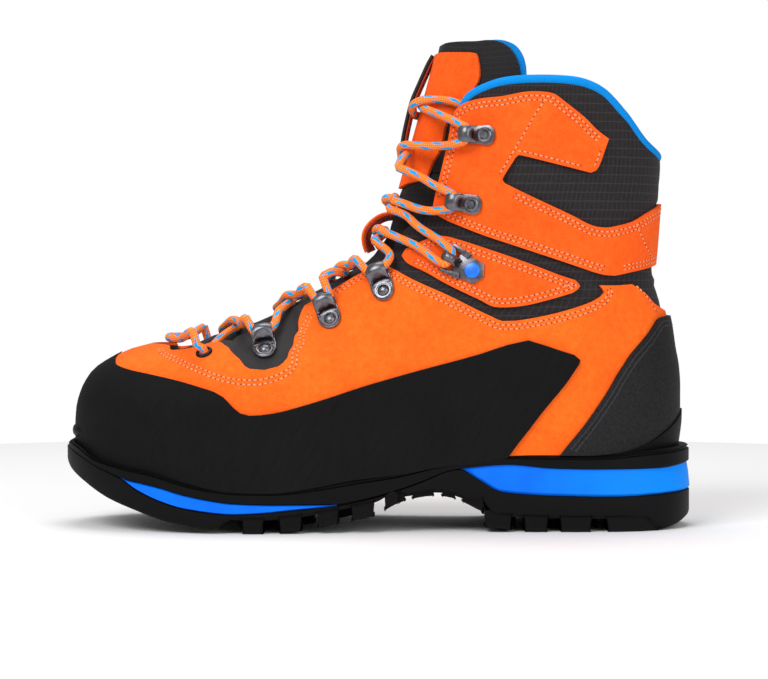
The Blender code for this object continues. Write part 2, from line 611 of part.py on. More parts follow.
def folded_sheet(name, frame, reach, fold, widths):
    """A strip of sheet metal, flat on the upper and folded back over the lace."""
    steps = 7
    outer = LOOP_INNER + SHEET
    arc = [math.radians(-90 + fold * i / steps) for i in range(steps + 1)]
    centre = (reach, LOOP_RISE)
    line = [(-widths[0] / 2, 0.0)]
    line += [(centre[0] + outer * math.cos(a), centre[1] + outer * math.sin(a)) for a in arc]
    line += [(centre[0] + LOOP_INNER * math.cos(a), centre[1] + LOOP_INNER * math.sin(a)) for a in reversed(arc)]
    line += [(-widths[0] / 2, SHEET)]
    bm = bmesh.new()
    across = {}
    for sign in (-1, 1):
        ring = []
        for along, up in line:
            share = ease(0.25 * reach, 0.9 * reach, along)
            half = (widths[0] + (widths[1] - widths[0]) * share) / 2
            ring.append(bm.verts.new((along, sign * half, up)))
        across[sign] = ring
    count = len(line)
    for i in range(count):
        j = (i + 1) % count
        bm.faces.new((across[-1][i], across[-1][j], across[1][j], across[1][i]))
    bm.faces.new(across[-1])
    bm.faces.new(across[1])
    bmesh.ops.transform(bm, matrix=frame, verts=bm.verts)
    return link(name, bm, "gunmetal", 0.4, 1.0)


def rivet(name, frame, radius):
    """A low domed rivet head on the sheet."""
    bm = bmesh.new()
    bmesh.ops.create_cone(bm, cap_ends=True, segments=12, radius1=radius, radius2=radius * 0.72, depth=1.4)
    lift = Matrix.Translation((0, 0, SHEET + 0.35 + 0.7))
    bmesh.ops.transform(bm, matrix=frame @ lift, verts=bm.verts)
    return link(name, bm, "gunmetal", 0.35, 1.0)


def eyelets(vamp):
    """A bore through the vamp on each side of the throat's toe end, each with a flat ring."""
    for side, word in ((-1, "outer"), (1, "inner")):
        frame = seat(EYELET, (EYELET[0], EYELET[1] + 6), side, OVERLAY[1] + 0.35)
        bm = bmesh.new()
        bore = {"radius1": EYELET_BORE, "radius2": EYELET_BORE}
        bmesh.ops.create_cone(bm, cap_ends=True, segments=16, depth=12, **bore)
        bmesh.ops.transform(bm, matrix=frame, verts=bm.verts)
        cutter = link(f"eyelet_bore_{word}", bm, "gunmetal")
        cutter.hide_render = True
        cutter.display_type = "WIRE"
        cut = vamp.modifiers.new(f"Eyelet bore {word}", "BOOLEAN")
        cut.operation = "DIFFERENCE"
        cut.object = cutter
        bm = bmesh.new()
        bmesh.ops.create_circle(bm, segments=16, radius=EYELET_BORE + 0.02)
        ring = bmesh.ops.extrude_edge_only(bm, edges=bm.edges[:])
        grown = [item for item in ring["geom"] if isinstance(item, bmesh.types.BMVert)]
        bmesh.ops.scale(bm, vec=(EYELET_RIM / EYELET_BORE,) * 3, verts=grown)
        top = bmesh.ops.extrude_face_region(bm, geom=bm.faces[:], use_keep_orig=True)
        raised = [item for item in top["geom"] if isinstance(item, bmesh.types.BMVert)]
        bmesh.ops.translate(bm, vec=(0, 0, 1.0), verts=raised)
        bmesh.ops.transform(bm, matrix=frame, verts=bm.verts)
        link(f"toe_eyelet_{word}", bm, "gunmetal", 0.4, 1.0)


def hardware():
    """Lace guides and hooks, with their rivets, on both sides."""
    for side, word in ((-1, "outer"), (1, "inner")):
        for name, place, towards, under in GUIDES:
            frame = seat(place, towards, side, under + SEAT_GAP)
            folded_sheet(f"{name}_{word}", frame, 9.2, 290, (9.0, 8.0))
            rivet(f"{name}_rivet_{word}", frame, 3.2)
        for name, place, towards, under, reach, width in HOOKS:
            frame = seat(place, towards, side, under + SEAT_GAP)
            folded_sheet(f"{name}_{word}", frame, reach, 215, (8.4, width))
            rivet(f"{name}_rivet_{word}", frame, 3.6)


# Free stretches of the lace on one side, before and after each fitting, as (x, height, height off the upper)
AT_EYELET = ((-93, 88.6, 5.4), (-76, 92, 0.9))
AT_FITTING = [(None, (-47.4, 99.6, 5.8)), ((-35, 107.4, 5.6), (-16.4, 113.2, 5.8)),
              ((-9.4, 122.4, 5.6), (9.2, 129.6, 5.4)), ((23.5, 134.2, 5.6), (21, 144.6, 5.0)),
              ((25, 152.2, 5.6), (25.4, 166, 5.0)), ((29.6, 183, 5.6), (29.8, 199.4, 5.0))]
TUCKED = [(25.6, 206.8), (30, 207.6), (35, 206), (40, 202.6), (44, 198.6)]
TUCKED_LIFT = 4.2
# Where the strands cross: height on the front ridge of the strand from the inner side, and of the strand
# from the outer side; height of the crossing, which is on the outer side; lift of the lower strand
CROSSINGS = [(94.0, 96.1, 95.6, 2.6), (105.2, 108.6, 107.6, 2.6), (119.4, 123.1, 122.4, 2.6),
             (138.0, 144.0, 142.2, 2.6), (154.4, 160.6, 158.6, 2.6), (179.2, 185.4, 183.4, 4.3),
             (199.2, 206.4, 203.6, 4.3)]
CROSSING_TURN = 0.105
CHART_STEP = 0.07


def through_eyelet(side):
    """Down through the bore from the toe bar, and back out of the throat under the vamp's edge."""
    frame = seat(EYELET, (EYELET[0], EYELET[1] + 6), side, OVERLAY[1] + 0.35)
    local = [(0.8, -side * 6.4, 5.0), (0.1, -side * 2.5, 4.2), (0, 0, 1.6), (0, 0, -1.8),
             (1.9, side * 0.3, -4.4), (6.0, side * 1.2, -4.5)]
    return [frame @ Vector(place) for place in local]


def through_fold(frame, reach, side, half, turned_back):
    """Through a folded fitting: straight on, or round it and back towards the front ridge."""
    if turned_back:
        local = [(4.0, -half - 2.6), (0.9, -half - 0.8), (-0.4, -0.45 * half)]
    else:
        local = [(0, -half - 3.0), (0, -half)]
    local += [(ahead, -across) for ahead, across in reversed(local)]
    return [frame @ Vector((reach + ahead, side * across, LOOP_RISE)) for ahead, across in local]


def over_ridge(crossing, from_outer):
    """Places of a strand on its way over the front ridge, in order from the outer side."""
    inner_z, outer_z, meet, lift = crossing
    if from_outer:
        return [(-CROSSING_TURN, meet - 1.0, lift), (0.0, outer_z, lift)]
    middle = (meet - 0.8 + inner_z) / 2
    start = (-CROSSING_TURN, meet - 0.8, lift + 5.1)
    return [start, (-CROSSING_TURN / 2, middle, lift + 2.9), (0.0, inner_z, lift)]


def strand(first_side):
    """One half of the lace, from beside the toe bar's middle to its tucked end.

    Returns:
        Places in order, each either a Vector or a (turn, height, lift) tuple.
    """
    side = first_side
    before, after = [(side * turn_at(x, z), z, lift) for x, z, lift in AT_EYELET]
    places = [before] + through_eyelet(side) + [after]
    fittings = [(place, towards, under, 9.2, 8.0, False) for name, place, towards, under in GUIDES]
    for name, place, towards, under, reach, width in HOOKS:
        fittings.append((place, towards, under, reach, width, True))
    for i, crossing in enumerate(CROSSINGS):
        pair = over_ridge(crossing, side < 0)
        places += pair if side < 0 else pair[::-1]
        side = -side
        if i == len(fittings):
            turns = [(side * turn_at(x, z), z) for x, z in (TUCKED if side > 0 else TUCKED[1:])]
            places += [(turn, z, shaft_dip(turn, z) + TUCKED_LIFT) for turn, z in turns]
            break
        place, towards, under, reach, width, back = fittings[i]
        frame = seat(place, towards, side, under + SEAT_GAP)
        before, after = AT_FITTING[i]
        if before:
            places.append((side * turn_at(*before[:2]), *before[1:]))
        places += through_fold(frame, reach, side, width / 2 + 0.5, back)
        places.append((side * turn_at(*after[:2]), *after[1:]))
    return places


def laid_on_upper(places):
    """The route as points, with stretches that lie on the upper following its curve."""
    points = []
    for i, place in enumerate(places):
        if isinstance(place, Vector):
            points.append(place)
            continue
        last = places[i - 1] if i else None
        if isinstance(last, tuple):
            pieces = math.ceil(abs(place[0] - last[0]) / CHART_STEP)
            for n in range(1, pieces):
                points.append(on_upper(*[a + (b - a) * n / pieces for a, b in zip(last, place)]))
        points.append(on_upper(*place))
    return points


def lace():
    """The lace: one cord from one tucked end, down to the toe bar and up to the other."""
    points = laid_on_upper(strand(-1)[::-1] + [(0.0, 90.2, 4.9)] + strand(1))
    spans = [(a - b).length for a, b in zip(points, points[1:])]
    along = [sum(spans[:i]) for i in range(len(points))]
    stops = [0.0]
    for start, span in zip(along, spans):
        pieces = max(1, round(span / LACE_PIECE))
        stops += [start + span * (n + 1) / pieces for n in range(pieces)]
    lines = [[(at, point[axis]) for at, point in zip(along, points)] for axis in range(3)]
    data = bpy.data.curves.new("lace", "CURVE")
    data.dimensions = "3D"
    spline = data.splines.new("POLY")
    spline.points.add(len(stops) - 1)
    for point, stop in zip(spline.points, stops):
        x, y, z = [round_curve(line, stop) for line in lines]
        point.co = ((x - BOX_MIDDLE[0]) * MM, (y - BOX_MIDDLE[1]) * MM, z * MM, 1)
    data.bevel_depth = LACE_RADIUS * MM
    data.bevel_resolution = 2
    data.use_fill_caps = True
    data.materials.append(material("orange_suede", 0.8, 0.0))
    obj = bpy.data.objects.new("lace", data)
    bpy.context.scene.collection.objects.link(obj)


def round_curve(knots, at):
    """Value on a rounded line through knots: like curve_value, and free to swing past a knot's value."""
    last = len(knots) - 1
    first = max(0, min(last - 1, max(i for i in range(last + 1) if knots[i][0] <= at)))

    def slope(knot):
        before, after = knots[max(0, knot - 1)], knots[min(last, knot + 1)]
        return (after[1] - before[1]) / (after[0] - before[0])

    step = knots[first + 1][0] - knots[first][0]
    s = (at - knots[first][0]) / step
    return (
        (2 * s**3 - 3 * s**2 + 1) * knots[first][1]
        + (s**3 - 2 * s**2 + s) * slope(first) * step
        + (3 * s**2 - 2 * s**3) * knots[first + 1][1]
        + (s**3 - s**2) * slope(first + 1) * step
    )


def hang(joint, place, moving):
    """Parents moving pieces to an empty on their joint's axis, which runs across the boot at place."""
    x, z = place
    empty = bpy.data.objects.new(joint, None)
    empty.location = ((x - BOX_MIDDLE[0]) * MM, -BOX_MIDDLE[1] * MM, z * MM)
    bpy.context.scene.collection.objects.link(empty)
    for obj in moving:
        obj.parent = empty
        obj.matrix_parent_inverse = Matrix.Translation(-empty.location)


def main():
    """Builds the boot."""
    for obj in list(bpy.data.objects):
        bpy.data.objects.remove(obj)
    sole_unit()
    foot_upper()
    cuff()
    eyelets(bpy.data.objects["vamp_and_quarters"])
    hardware()
    lace()
    hooks = [obj for obj in bpy.data.objects if obj.name.startswith("hook_")]
    hang("ankle_axis", ANKLE_AXIS, [bpy.data.objects[name] for name in CUFF_PIECES] + hooks)
    hang("tongue_fold_axis", TONGUE_FOLD_AXIS, [bpy.data.objects[name] for name in TONGUE_END_PIECES])
    hang("footbed_toe_axis", FOOTBED_TOE_AXIS, [bpy.data.objects["footbed"]])


main()
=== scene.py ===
"""Looks of a left mountaineering boot: suede, softshell, rubber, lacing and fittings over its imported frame.

Sizes are in millimetres until a mesh is finished. The upper is a stack of closed rings. A place on it is a
turn (0 on the front ridge, 1 down the back, negative on the outer side) and a height, and every panel is a
patch of that surface with a lift off it. A chart line is an array of such places, one (turn, height) row
each; TURN_MM is what one whole turn counts for where a chart is treated as flat.
"""

import logging
import math
from dataclasses import dataclass
from enum import Enum
from typing import Callable, Iterable, Optional, Sequence, Union

import bmesh
import bpy
import numpy as np
from mathutils import Matrix, Vector


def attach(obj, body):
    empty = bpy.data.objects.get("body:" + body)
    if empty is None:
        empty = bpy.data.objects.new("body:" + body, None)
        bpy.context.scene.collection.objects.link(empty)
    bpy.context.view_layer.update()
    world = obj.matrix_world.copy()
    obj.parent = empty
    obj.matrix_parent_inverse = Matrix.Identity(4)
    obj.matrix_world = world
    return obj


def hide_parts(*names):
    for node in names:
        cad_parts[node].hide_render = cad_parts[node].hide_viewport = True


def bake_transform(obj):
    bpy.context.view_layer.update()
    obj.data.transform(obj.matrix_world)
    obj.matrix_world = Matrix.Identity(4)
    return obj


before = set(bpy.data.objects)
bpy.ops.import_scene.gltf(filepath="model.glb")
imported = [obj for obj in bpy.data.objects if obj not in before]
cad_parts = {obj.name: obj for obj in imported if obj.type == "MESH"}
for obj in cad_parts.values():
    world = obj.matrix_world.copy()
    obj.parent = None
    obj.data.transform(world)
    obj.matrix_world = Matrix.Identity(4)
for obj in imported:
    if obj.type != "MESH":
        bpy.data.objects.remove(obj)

LOG = logging.getLogger("boot")
MM = 0.001
BOX_MIDDLE = (-0.4, 4.162)
TURN_MM = 150.0
BACK = math.inf
Spot = tuple[Optional[float], float]
Run = Sequence[Spot]
Lift = Union[float, Callable[[np.ndarray, np.ndarray], np.ndarray]]


def srgb(code: str) -> tuple[float, float, float, float]:
    """Linear colour of an sRGB hex code such as ff6a1a."""
    parts = [int(code[i : i + 2], 16) / 255 for i in (0, 2, 4)]
    linear = [c / 12.92 if c <= 0.04045 else ((c + 0.055) / 1.055) ** 2.4 for c in parts]
    return (*linear, 1.0)


def ease(low: float, high: float, at: np.ndarray) -> np.ndarray:
    """0 below low, 1 above high, smooth between."""
    share = np.clip((np.asarray(at, float) - low) / (high - low), 0, 1)
    return share * share * (3 - 2 * share)


def round_end(distance: np.ndarray, length: np.ndarray) -> np.ndarray:
    """Share of the full width at a distance from a rounded end that is length long."""
    share = np.clip(distance / length, 0, 1)
    return np.sqrt(1 - (1 - share) ** 3)


def lengths_along(points: np.ndarray) -> np.ndarray:
    """Length of a path up to each of its points."""
    return np.concatenate([[0], np.cumsum(np.linalg.norm(np.diff(points, axis=0), axis=1))])


def curve_through(knots: np.ndarray, spacing: float) -> np.ndarray:
    """Points at even lengths on a smooth curve through knots."""
    at = lengths_along(knots)
    slopes = np.vstack([(knots[1] - knots[0]) / (at[1] - at[0]),
                        (knots[2:] - knots[:-2]) / (at[2:] - at[:-2])[:, None],
                        (knots[-1] - knots[-2]) / (at[-1] - at[-2])])
    where = np.arange(0, at[-1], spacing)
    k = np.clip(np.searchsorted(at, where, side="right") - 1, 0, len(at) - 2)
    step = (at[k + 1] - at[k])[:, None]
    s = (where[:, None] - at[k][:, None]) / step
    return ((2 * s**3 - 3 * s**2 + 1) * knots[k] + (s**3 - 2 * s**2 + s) * slopes[k] * step
            + (3 * s**2 - 2 * s**3) * knots[k + 1] + (s**3 - s**2) * slopes[k + 1] * step)


class Body(Enum):
    """Bodies of the frame that a whole piece rides on."""

    FOOT = "foot"
    CUFF = "cuff"


class Wrap(Enum):
    """Which way a panel's half outline is completed."""

    FRONT = "over the front ridge"
    BACKWARD = "round the back"
    OUTER = "outer side only"
    INNER = "inner side only"


class Profile:
    """A smooth line through knots that never swings past a knot's value."""

    SAMPLES = 1600

    def __init__(self, knots: Sequence[tuple[float, float]]) -> None:
        """Args:
        knots: (place, value) pairs with rising places.
        """
        x, y = np.array(knots, float).T
        step, rise = np.diff(x), np.diff(y) / np.diff(x)
        before, after = rise[:-1], rise[1:]
        total = np.where(before + after == 0, 1, before + after)
        inner = np.where(before * after > 0, 2 * before * after / total, 0)
        slope = np.concatenate([rise[:1], inner, rise[-1:]])
        self.places = np.linspace(x[0], x[-1], self.SAMPLES)
        k = np.clip(np.searchsorted(x, self.places, side="right") - 1, 0, len(step) - 1)
        s = (self.places - x[k]) / step[k]
        self.values = (
            (2 * s**3 - 3 * s**2 + 1) * y[k]
            + (s**3 - 2 * s**2 + s) * slope[k] * step[k]
            + (3 * s**2 - 2 * s**3) * y[k + 1]
            + (s**3 - s**2) * slope[k + 1] * step[k]
        )

    def at(self, where: np.ndarray) -> np.ndarray:
        """Values at places."""
        return np.interp(where, self.places, self.values)


class Upper:
    """The boot's upper as a surface: the same rings that the frame's panels were cut from."""

    TOE_SWING = 7.0
    front = Profile([(15, -141), (30, -143.5), (46, -145), (56, -144.5), (64.5, -142.3), (72, -138.5),
                     (78, -132.7), (82, -126), (84.5, -119.5), (86.5, -111.5), (88.5, -102.4), (91.7, -87.7),
                     (94.1, -75.5), (96.8, -65.7), (99.8, -57.8), (105.9, -46), (112.3, -34.3),
                     (119.6, -21.6), (127.2, -8.3), (134.3, -0.5), (142.2, 4.4), (151.5, 7.6), (160.1, 10),
                     (173.5, 13.7), (190.5, 18.6), (208, 23.4), (225, 27.8), (240, 31)])
    back = Profile([(15, 139), (30, 141), (40, 142), (54, 143.5), (68, 143.5), (78, 142.8), (85.3, 141.4),
                    (98.4, 139.4), (113.3, 135.6), (124, 133.2), (137.7, 134.2), (157, 135.6), (175, 137),
                    (200, 136), (220, 134), (240, 132)])
    foot_width = Profile([(-150, 48), (-110, 50.5), (-70, 52), (-30, 48), (10, 42.5), (50, 38.5), (90, 36),
                          (140, 34)])
    leg_width = Profile([(40, 38), (90, 37.5), (130, 39.5), (180, 43), (240, 45)])
    front_rounding = Profile([(15, 95), (60, 100), (75, 130), (90, 190), (110, 165), (140, 125), (190, 105),
                              (240, 100)])
    back_rounding = Profile([(15, 66), (60, 66), (120, 74), (190, 84), (240, 84)])

    def middle(self, x: np.ndarray) -> np.ndarray:
        """The plan centreline, which swings towards the inner side at the toe."""
        return self.TOE_SWING * (1 - ease(-150, 30, x))

    def ring(self, turn: np.ndarray, z: np.ndarray) -> np.ndarray:
        """Points of the surface, one row each."""
        turn, z = np.broadcast_arrays(np.asarray(turn, float), np.asarray(z, float))
        front, back = self.front.at(z), self.back.at(z)
        x = front + (back - front) * (1 - np.cos(np.pi * turn)) / 2
        side = np.where(np.sin(np.pi * turn) >= 0, 1.0, -1.0)
        foot, leg = self.foot_width.at(x), self.leg_width.at(z)
        full = foot + (leg - foot) * ease(55, 140, z)
        toe_share = 1 - ease(80, 130, z)
        rounding = self.front_rounding.at(z) * (1 + np.where(side < 0, 0.10, -0.12) * toe_share)
        half = full * round_end(x - front, rounding) * round_end(back - x, self.back_rounding.at(z))
        return np.stack([x, self.middle(x) + side * half, z], axis=-1)

    def normal(self, turn: np.ndarray, z: np.ndarray) -> np.ndarray:
        """Outward normals of the surface."""
        along = self.ring(turn + 0.012, z) - self.ring(turn - 0.012, z)
        up = self.ring(turn, z + 0.8) - self.ring(turn, z - 0.8)
        normal = np.cross(up, along)
        return normal / np.linalg.norm(normal, axis=-1, keepdims=True)

    def place(self, turn: np.ndarray, z: np.ndarray, lift: np.ndarray) -> np.ndarray:
        """Points with a lift off the surface, along its normal."""
        turn, z = np.asarray(turn, float), np.asarray(z, float)
        return self.ring(turn, z) + self.normal(turn, z) * np.asarray(lift, float)[..., None]

    def turn_at(self, x: float, z: float) -> float:
        """The turn, from 0 to 1, of the place seen at x and z from the side."""
        front, back = float(self.front.at(z)), float(self.back.at(z))
        share = min(1.0, max(0.0, (x - front) / (back - front)))
        return math.acos(1 - 2 * share) / math.pi

    def chart(self, run: Run) -> np.ndarray:
        """Places of a run of (x, height) spots; None is the front ridge and BACK the back."""
        turns = [0.0 if x is None else 1.0 if x == BACK else self.turn_at(x, z) for x, z in run]
        return np.array([(turn, spot[1]) for turn, spot in zip(turns, run)])

    def inset(self, line: np.ndarray, distance: float) -> np.ndarray:
        """A chart line moved sideways over the surface, towards the left of its direction."""
        points = self.ring(line[:, 0], line[:, 1])
        along = np.gradient(points, axis=0)
        along /= np.maximum(np.linalg.norm(along, axis=1, keepdims=True), 1e-9)
        left = np.cross(self.normal(line[:, 0], line[:, 1]), along)
        turn, z = line.T
        turn_step, z_step = 0.004, 0.5
        by_turn = (self.ring(turn + turn_step, z) - self.ring(turn - turn_step, z)) / (2 * turn_step)
        by_z = (self.ring(turn, z + z_step) - self.ring(turn, z - z_step)) / (2 * z_step)
        a, b, c = (by_turn**2).sum(1), (by_turn * by_z).sum(1), (by_z**2).sum(1)
        d, e = (by_turn * left).sum(1) * distance, (by_z * left).sum(1) * distance
        det = a * c - b * b
        return line + np.stack([(d * c - e * b) / det, (a * e - b * d) / det], axis=1)


UPPER = Upper()


def smooth(run: np.ndarray, step: float = 1.6) -> np.ndarray:
    """A chart line rounded through its places, level where it ends on a mirror line.

    Args:
        run: Chart places, the first and last kept exactly.
        step: Distance between the new places, in millimetres.

    Returns:
        The rounded line as chart places.
    """
    if len(run) < 3:
        ends = run * [TURN_MM, 1]
        count = max(2, int(np.linalg.norm(ends[-1] - ends[0]) / step) + 1)
        return run[0] + (run[-1] - run[0]) * np.linspace(0, 1, count)[:, None]
    flat = run * [TURN_MM, 1.0]

    def beyond(end: np.ndarray, near: np.ndarray) -> np.ndarray:
        if end[0] in (0.0, TURN_MM):
            return np.array([2 * end[0] - near[0], near[1]])
        return 2 * end - near

    knots = np.vstack([beyond(flat[0], flat[1]), flat, beyond(flat[-1], flat[-2])])
    found = []
    for p0, p1, p2, p3 in zip(knots, knots[1:], knots[2:], knots[3:]):
        t0 = 0.0
        t1 = t0 + max(np.linalg.norm(p1 - p0), 1e-6) ** 0.5
        t2 = t1 + max(np.linalg.norm(p2 - p1), 1e-6) ** 0.5
        t3 = t2 + max(np.linalg.norm(p3 - p2), 1e-6) ** 0.5
        count = max(1, int(np.linalg.norm(p2 - p1) / step))
        t = np.linspace(t1, t2, count + 1)[:-1, None]
        a1 = (t1 - t) / (t1 - t0) * p0 + (t - t0) / (t1 - t0) * p1
        a2 = (t2 - t) / (t2 - t1) * p1 + (t - t1) / (t2 - t1) * p2
        a3 = (t3 - t) / (t3 - t2) * p2 + (t - t2) / (t3 - t2) * p3
        b1 = (t2 - t) / (t2 - t0) * a1 + (t - t0) / (t2 - t0) * a2
        b2 = (t3 - t) / (t3 - t1) * a2 + (t - t1) / (t3 - t1) * a3
        found.append((t2 - t) / (t2 - t1) * b1 + (t - t1) / (t2 - t1) * b2)
    return np.vstack(found + [flat[-1:]]) / [TURN_MM, 1.0]


def half_line(runs: Sequence[Run]) -> np.ndarray:
    """Runs rounded one by one and joined at their corners, as one chart line."""
    parts = [smooth(UPPER.chart(run)) for run in runs]
    return np.vstack([part[:-1] if i < len(parts) - 1 else part for i, part in enumerate(parts)])


def closed(half: np.ndarray, wrap: Wrap) -> np.ndarray:
    """A half outline completed on the other side.

    Args:
        half: Chart line. For FRONT and BACKWARD it starts and ends on the mirror line.
        wrap: Which way to complete it.

    Returns:
        The closed outline as chart places, without a repeated end.
    """
    if wrap is Wrap.INNER:
        return half
    if wrap is Wrap.OUTER:
        return half * [-1, 1]
    if wrap is Wrap.FRONT:
        return np.vstack([half * [-1, 1], half[::-1][1:-1]])
    return np.vstack([half * [-1, 1] + [2, 0], half[::-1][1:-1]])


def all_round(low: np.ndarray, high: np.ndarray) -> np.ndarray:
    """Closed outline between two half lines, from the front ridge to the back, cut open at the ridge."""
    mirror = np.array([2, 0])
    low_line = np.vstack([low, (mirror + low * [-1, 1])[::-1][1:]])
    high_line = np.vstack([high, (mirror + high * [-1, 1])[::-1][1:]])
    return np.vstack([low_line, high_line[::-1]])


# --- Finishes ---------------------------------------------------------------------------------------------


class Shader:
    """Node tree of one finish, with one call that adds a node."""

    def __init__(self, name: str) -> None:
        """Starts an empty tree with a Principled shader."""
        self.material = bpy.data.materials.new(name)
        self.material.use_nodes = True
        self.tree = self.material.node_tree
        self.surface = self.tree.nodes["Principled BSDF"]

    def add(self, kind: str, settings: Optional[dict] = None, **inputs: object) -> bpy.types.Node:
        """Adds a node.

        Args:
            kind: Node type, such as ShaderNodeMath.
            settings: Attributes of the node.
            inputs: Socket values or links; a key is a socket name with _ for a space, or iN for a number.

        Returns:
            The new node.
        """
        node = self.tree.nodes.new(kind)
        for key, value in (settings or {}).items():
            setattr(node, key, value)
        self.feed(node, **inputs)
        return node

    def feed(self, node: bpy.types.Node, **inputs: object) -> None:
        """Sets or links sockets of a node, named as for add."""
        for key, value in inputs.items():
            is_number = key[0] == "i" and key[1:].isdigit()
            socket = node.inputs[int(key[1:])] if is_number else node.inputs[key.replace("_", " ")]
            if isinstance(value, bpy.types.NodeSocket):
                self.tree.links.new(value, socket)
            else:
                socket.default_value = value

    def noise(self, where: bpy.types.NodeSocket, size_mm: float, detail: float = 3.0, rough: float = 0.55,
              distortion: float = 0.0) -> bpy.types.NodeSocket:
        """Noise whose features are about size_mm wide."""
        node = self.add("ShaderNodeTexNoise", Vector=where, Scale=1000.0 / size_mm, Detail=detail,
                        Roughness=rough, Distortion=distortion)
        return node.outputs["Fac"]

    def place(self) -> bpy.types.NodeSocket:
        """The place on the piece, in the frame's metres."""
        return self.add("ShaderNodeTexCoord").outputs["Object"]

    def cloth(self) -> tuple[bpy.types.NodeSocket, bpy.types.NodeSocket]:
        """U and V of the piece's own cloth."""
        uv = self.add("ShaderNodeUVMap", {"uv_map": "Cloth"}).outputs["UV"]
        parts = self.add("ShaderNodeSeparateXYZ", Vector=uv)
        return parts.outputs["X"], parts.outputs["Y"]

    def weighted(self, *terms: tuple[bpy.types.NodeSocket, float]) -> bpy.types.NodeSocket:
        """Sum of values, each times its weight."""
        parts = [self.math("MULTIPLY", value, weight) for value, weight in terms]
        total = parts[0]
        for part in parts[1:]:
            total = self.math("ADD", total, part)
        return total

    def mix(self, share: bpy.types.NodeSocket, first: object, second: object) -> bpy.types.NodeSocket:
        """A colour between two, by a share of the second."""
        return self.add("ShaderNodeMix", {"data_type": "RGBA"}, i0=share, i6=first, i7=second).outputs[2]

    def math(self, operation: str, *values: object) -> bpy.types.NodeSocket:
        """Result of a Math node."""
        inputs = {f"i{i}": value for i, value in enumerate(values)}
        return self.add("ShaderNodeMath", {"operation": operation}, **inputs).outputs[0]

    def ramp(self, fac: bpy.types.NodeSocket, *stops: tuple[float, str]) -> bpy.types.NodeSocket:
        """Colour ramp from (place, hex) stops."""
        node = self.add("ShaderNodeValToRGB", Fac=fac)
        elements = node.color_ramp.elements
        while len(elements) < len(stops):
            elements.new(0.5)
        for element, (place, code) in zip(elements, stops):
            element.position = place
            element.color = srgb(code)
        return node.outputs["Color"]

    def spread(self, fac: bpy.types.NodeSocket, low: float, high: float, to_low: float,
               to_high: float) -> bpy.types.NodeSocket:
        """A value moved from one range to another, clamped."""
        node = self.add("ShaderNodeMapRange", i0=fac, i1=low, i2=high, i3=to_low, i4=to_high)
        return node.outputs[0]

    def bump(self, height: bpy.types.NodeSocket, depth_mm: float, strength: float = 1.0,
             under: Optional[bpy.types.NodeSocket] = None) -> bpy.types.NodeSocket:
        """Bumped normal from a height of 0 to 1 that is depth_mm deep."""
        node = self.add("ShaderNodeBump", Height=height, Distance=depth_mm * MM, Strength=strength)
        if under is not None:
            self.feed(node, Normal=under)
        return node.outputs["Normal"]


@dataclass(frozen=True)
class Suede:
    """Split leather with a brushed nap: the short fibres catch light at grazing angles and hide gloss."""

    name: str = "suede_orange"
    dark: str = "f04c0a"
    body: str = "fa5c12"
    light: str = "ff6e20"
    fibre_mm: float = 0.5
    cloud_mm: float = 26.0

    def make(self) -> bpy.types.Material:
        """Builds the material."""
        sh = Shader(self.name)
        where = sh.place()
        cloud = sh.noise(where, self.cloud_mm, 2.0)
        mottle = sh.noise(where, 3.2, 4.0, 0.6)
        fibre = sh.noise(where, self.fibre_mm, 3.0, 0.7, 0.6)
        tone = sh.weighted((cloud, 0.2), (mottle, 0.25), (fibre, 0.55))
        colour = sh.ramp(tone, (0.38, self.dark), (0.5, self.body), (0.64, self.light))
        coarse = sh.noise(where, 1.1, 3.0, 0.6)
        normal = sh.bump(coarse, 0.16, 0.55)
        normal = sh.bump(fibre, 0.14, 0.8, normal)
        sh.feed(sh.surface, Base_Color=colour, Roughness=0.92, Normal=normal, Specular_IOR_Level=0.25,
                Sheen_Weight=0.12, Sheen_Roughness=0.4, Sheen_Tint=srgb("ff9050"))
        return sh.material


@dataclass(frozen=True)
class Ripstop:
    """Plain-woven nylon with a grid of thicker yarns, as softshell outer cloth."""

    name: str = "ripstop_black"
    ground: str = "121012"
    yarn: str = "383336"
    grid_mm: float = 4.2
    thread_mm: float = 0.55

    def make(self) -> bpy.types.Material:
        """Builds the material."""
        sh = Shader(self.name)
        wave = []
        lines = []
        for metres in sh.cloth():
            across = sh.math("MULTIPLY", metres, 1000.0)
            wave.append(sh.math("SINE", sh.math("MULTIPLY", across, math.tau / self.thread_mm)))
            cell = sh.math("FRACT", sh.math("DIVIDE", across, self.grid_mm))
            off_yarn = sh.math("ABSOLUTE", sh.math("SUBTRACT", cell, 0.5))
            lines.append(sh.spread(off_yarn, 0.0, 0.09, 1.0, 0.0))
        weave = sh.spread(sh.math("MULTIPLY", wave[0], wave[1]), -1.0, 1.0, 0.0, 1.0)
        grid = sh.math("MAXIMUM", lines[0], lines[1])
        where = sh.place()
        fleck = sh.noise(where, 1.2, 4.0, 0.7)
        tone = sh.weighted((grid, 0.45), (weave, 0.2), (fleck, 0.5))
        colour = sh.ramp(tone, (0.25, self.ground), (0.85, self.yarn))
        normal = sh.bump(sh.weighted((grid, 0.7), (weave, 0.4)), 0.12, 0.7)
        normal = sh.bump(sh.noise(where, 9.0, 3.0), 0.5, 0.5, normal)
        sh.feed(sh.surface, Base_Color=colour, Roughness=0.72, Normal=normal, Specular_IOR_Level=0.25,
                Sheen_Weight=0.04, Sheen_Roughness=0.5)
        return sh.material


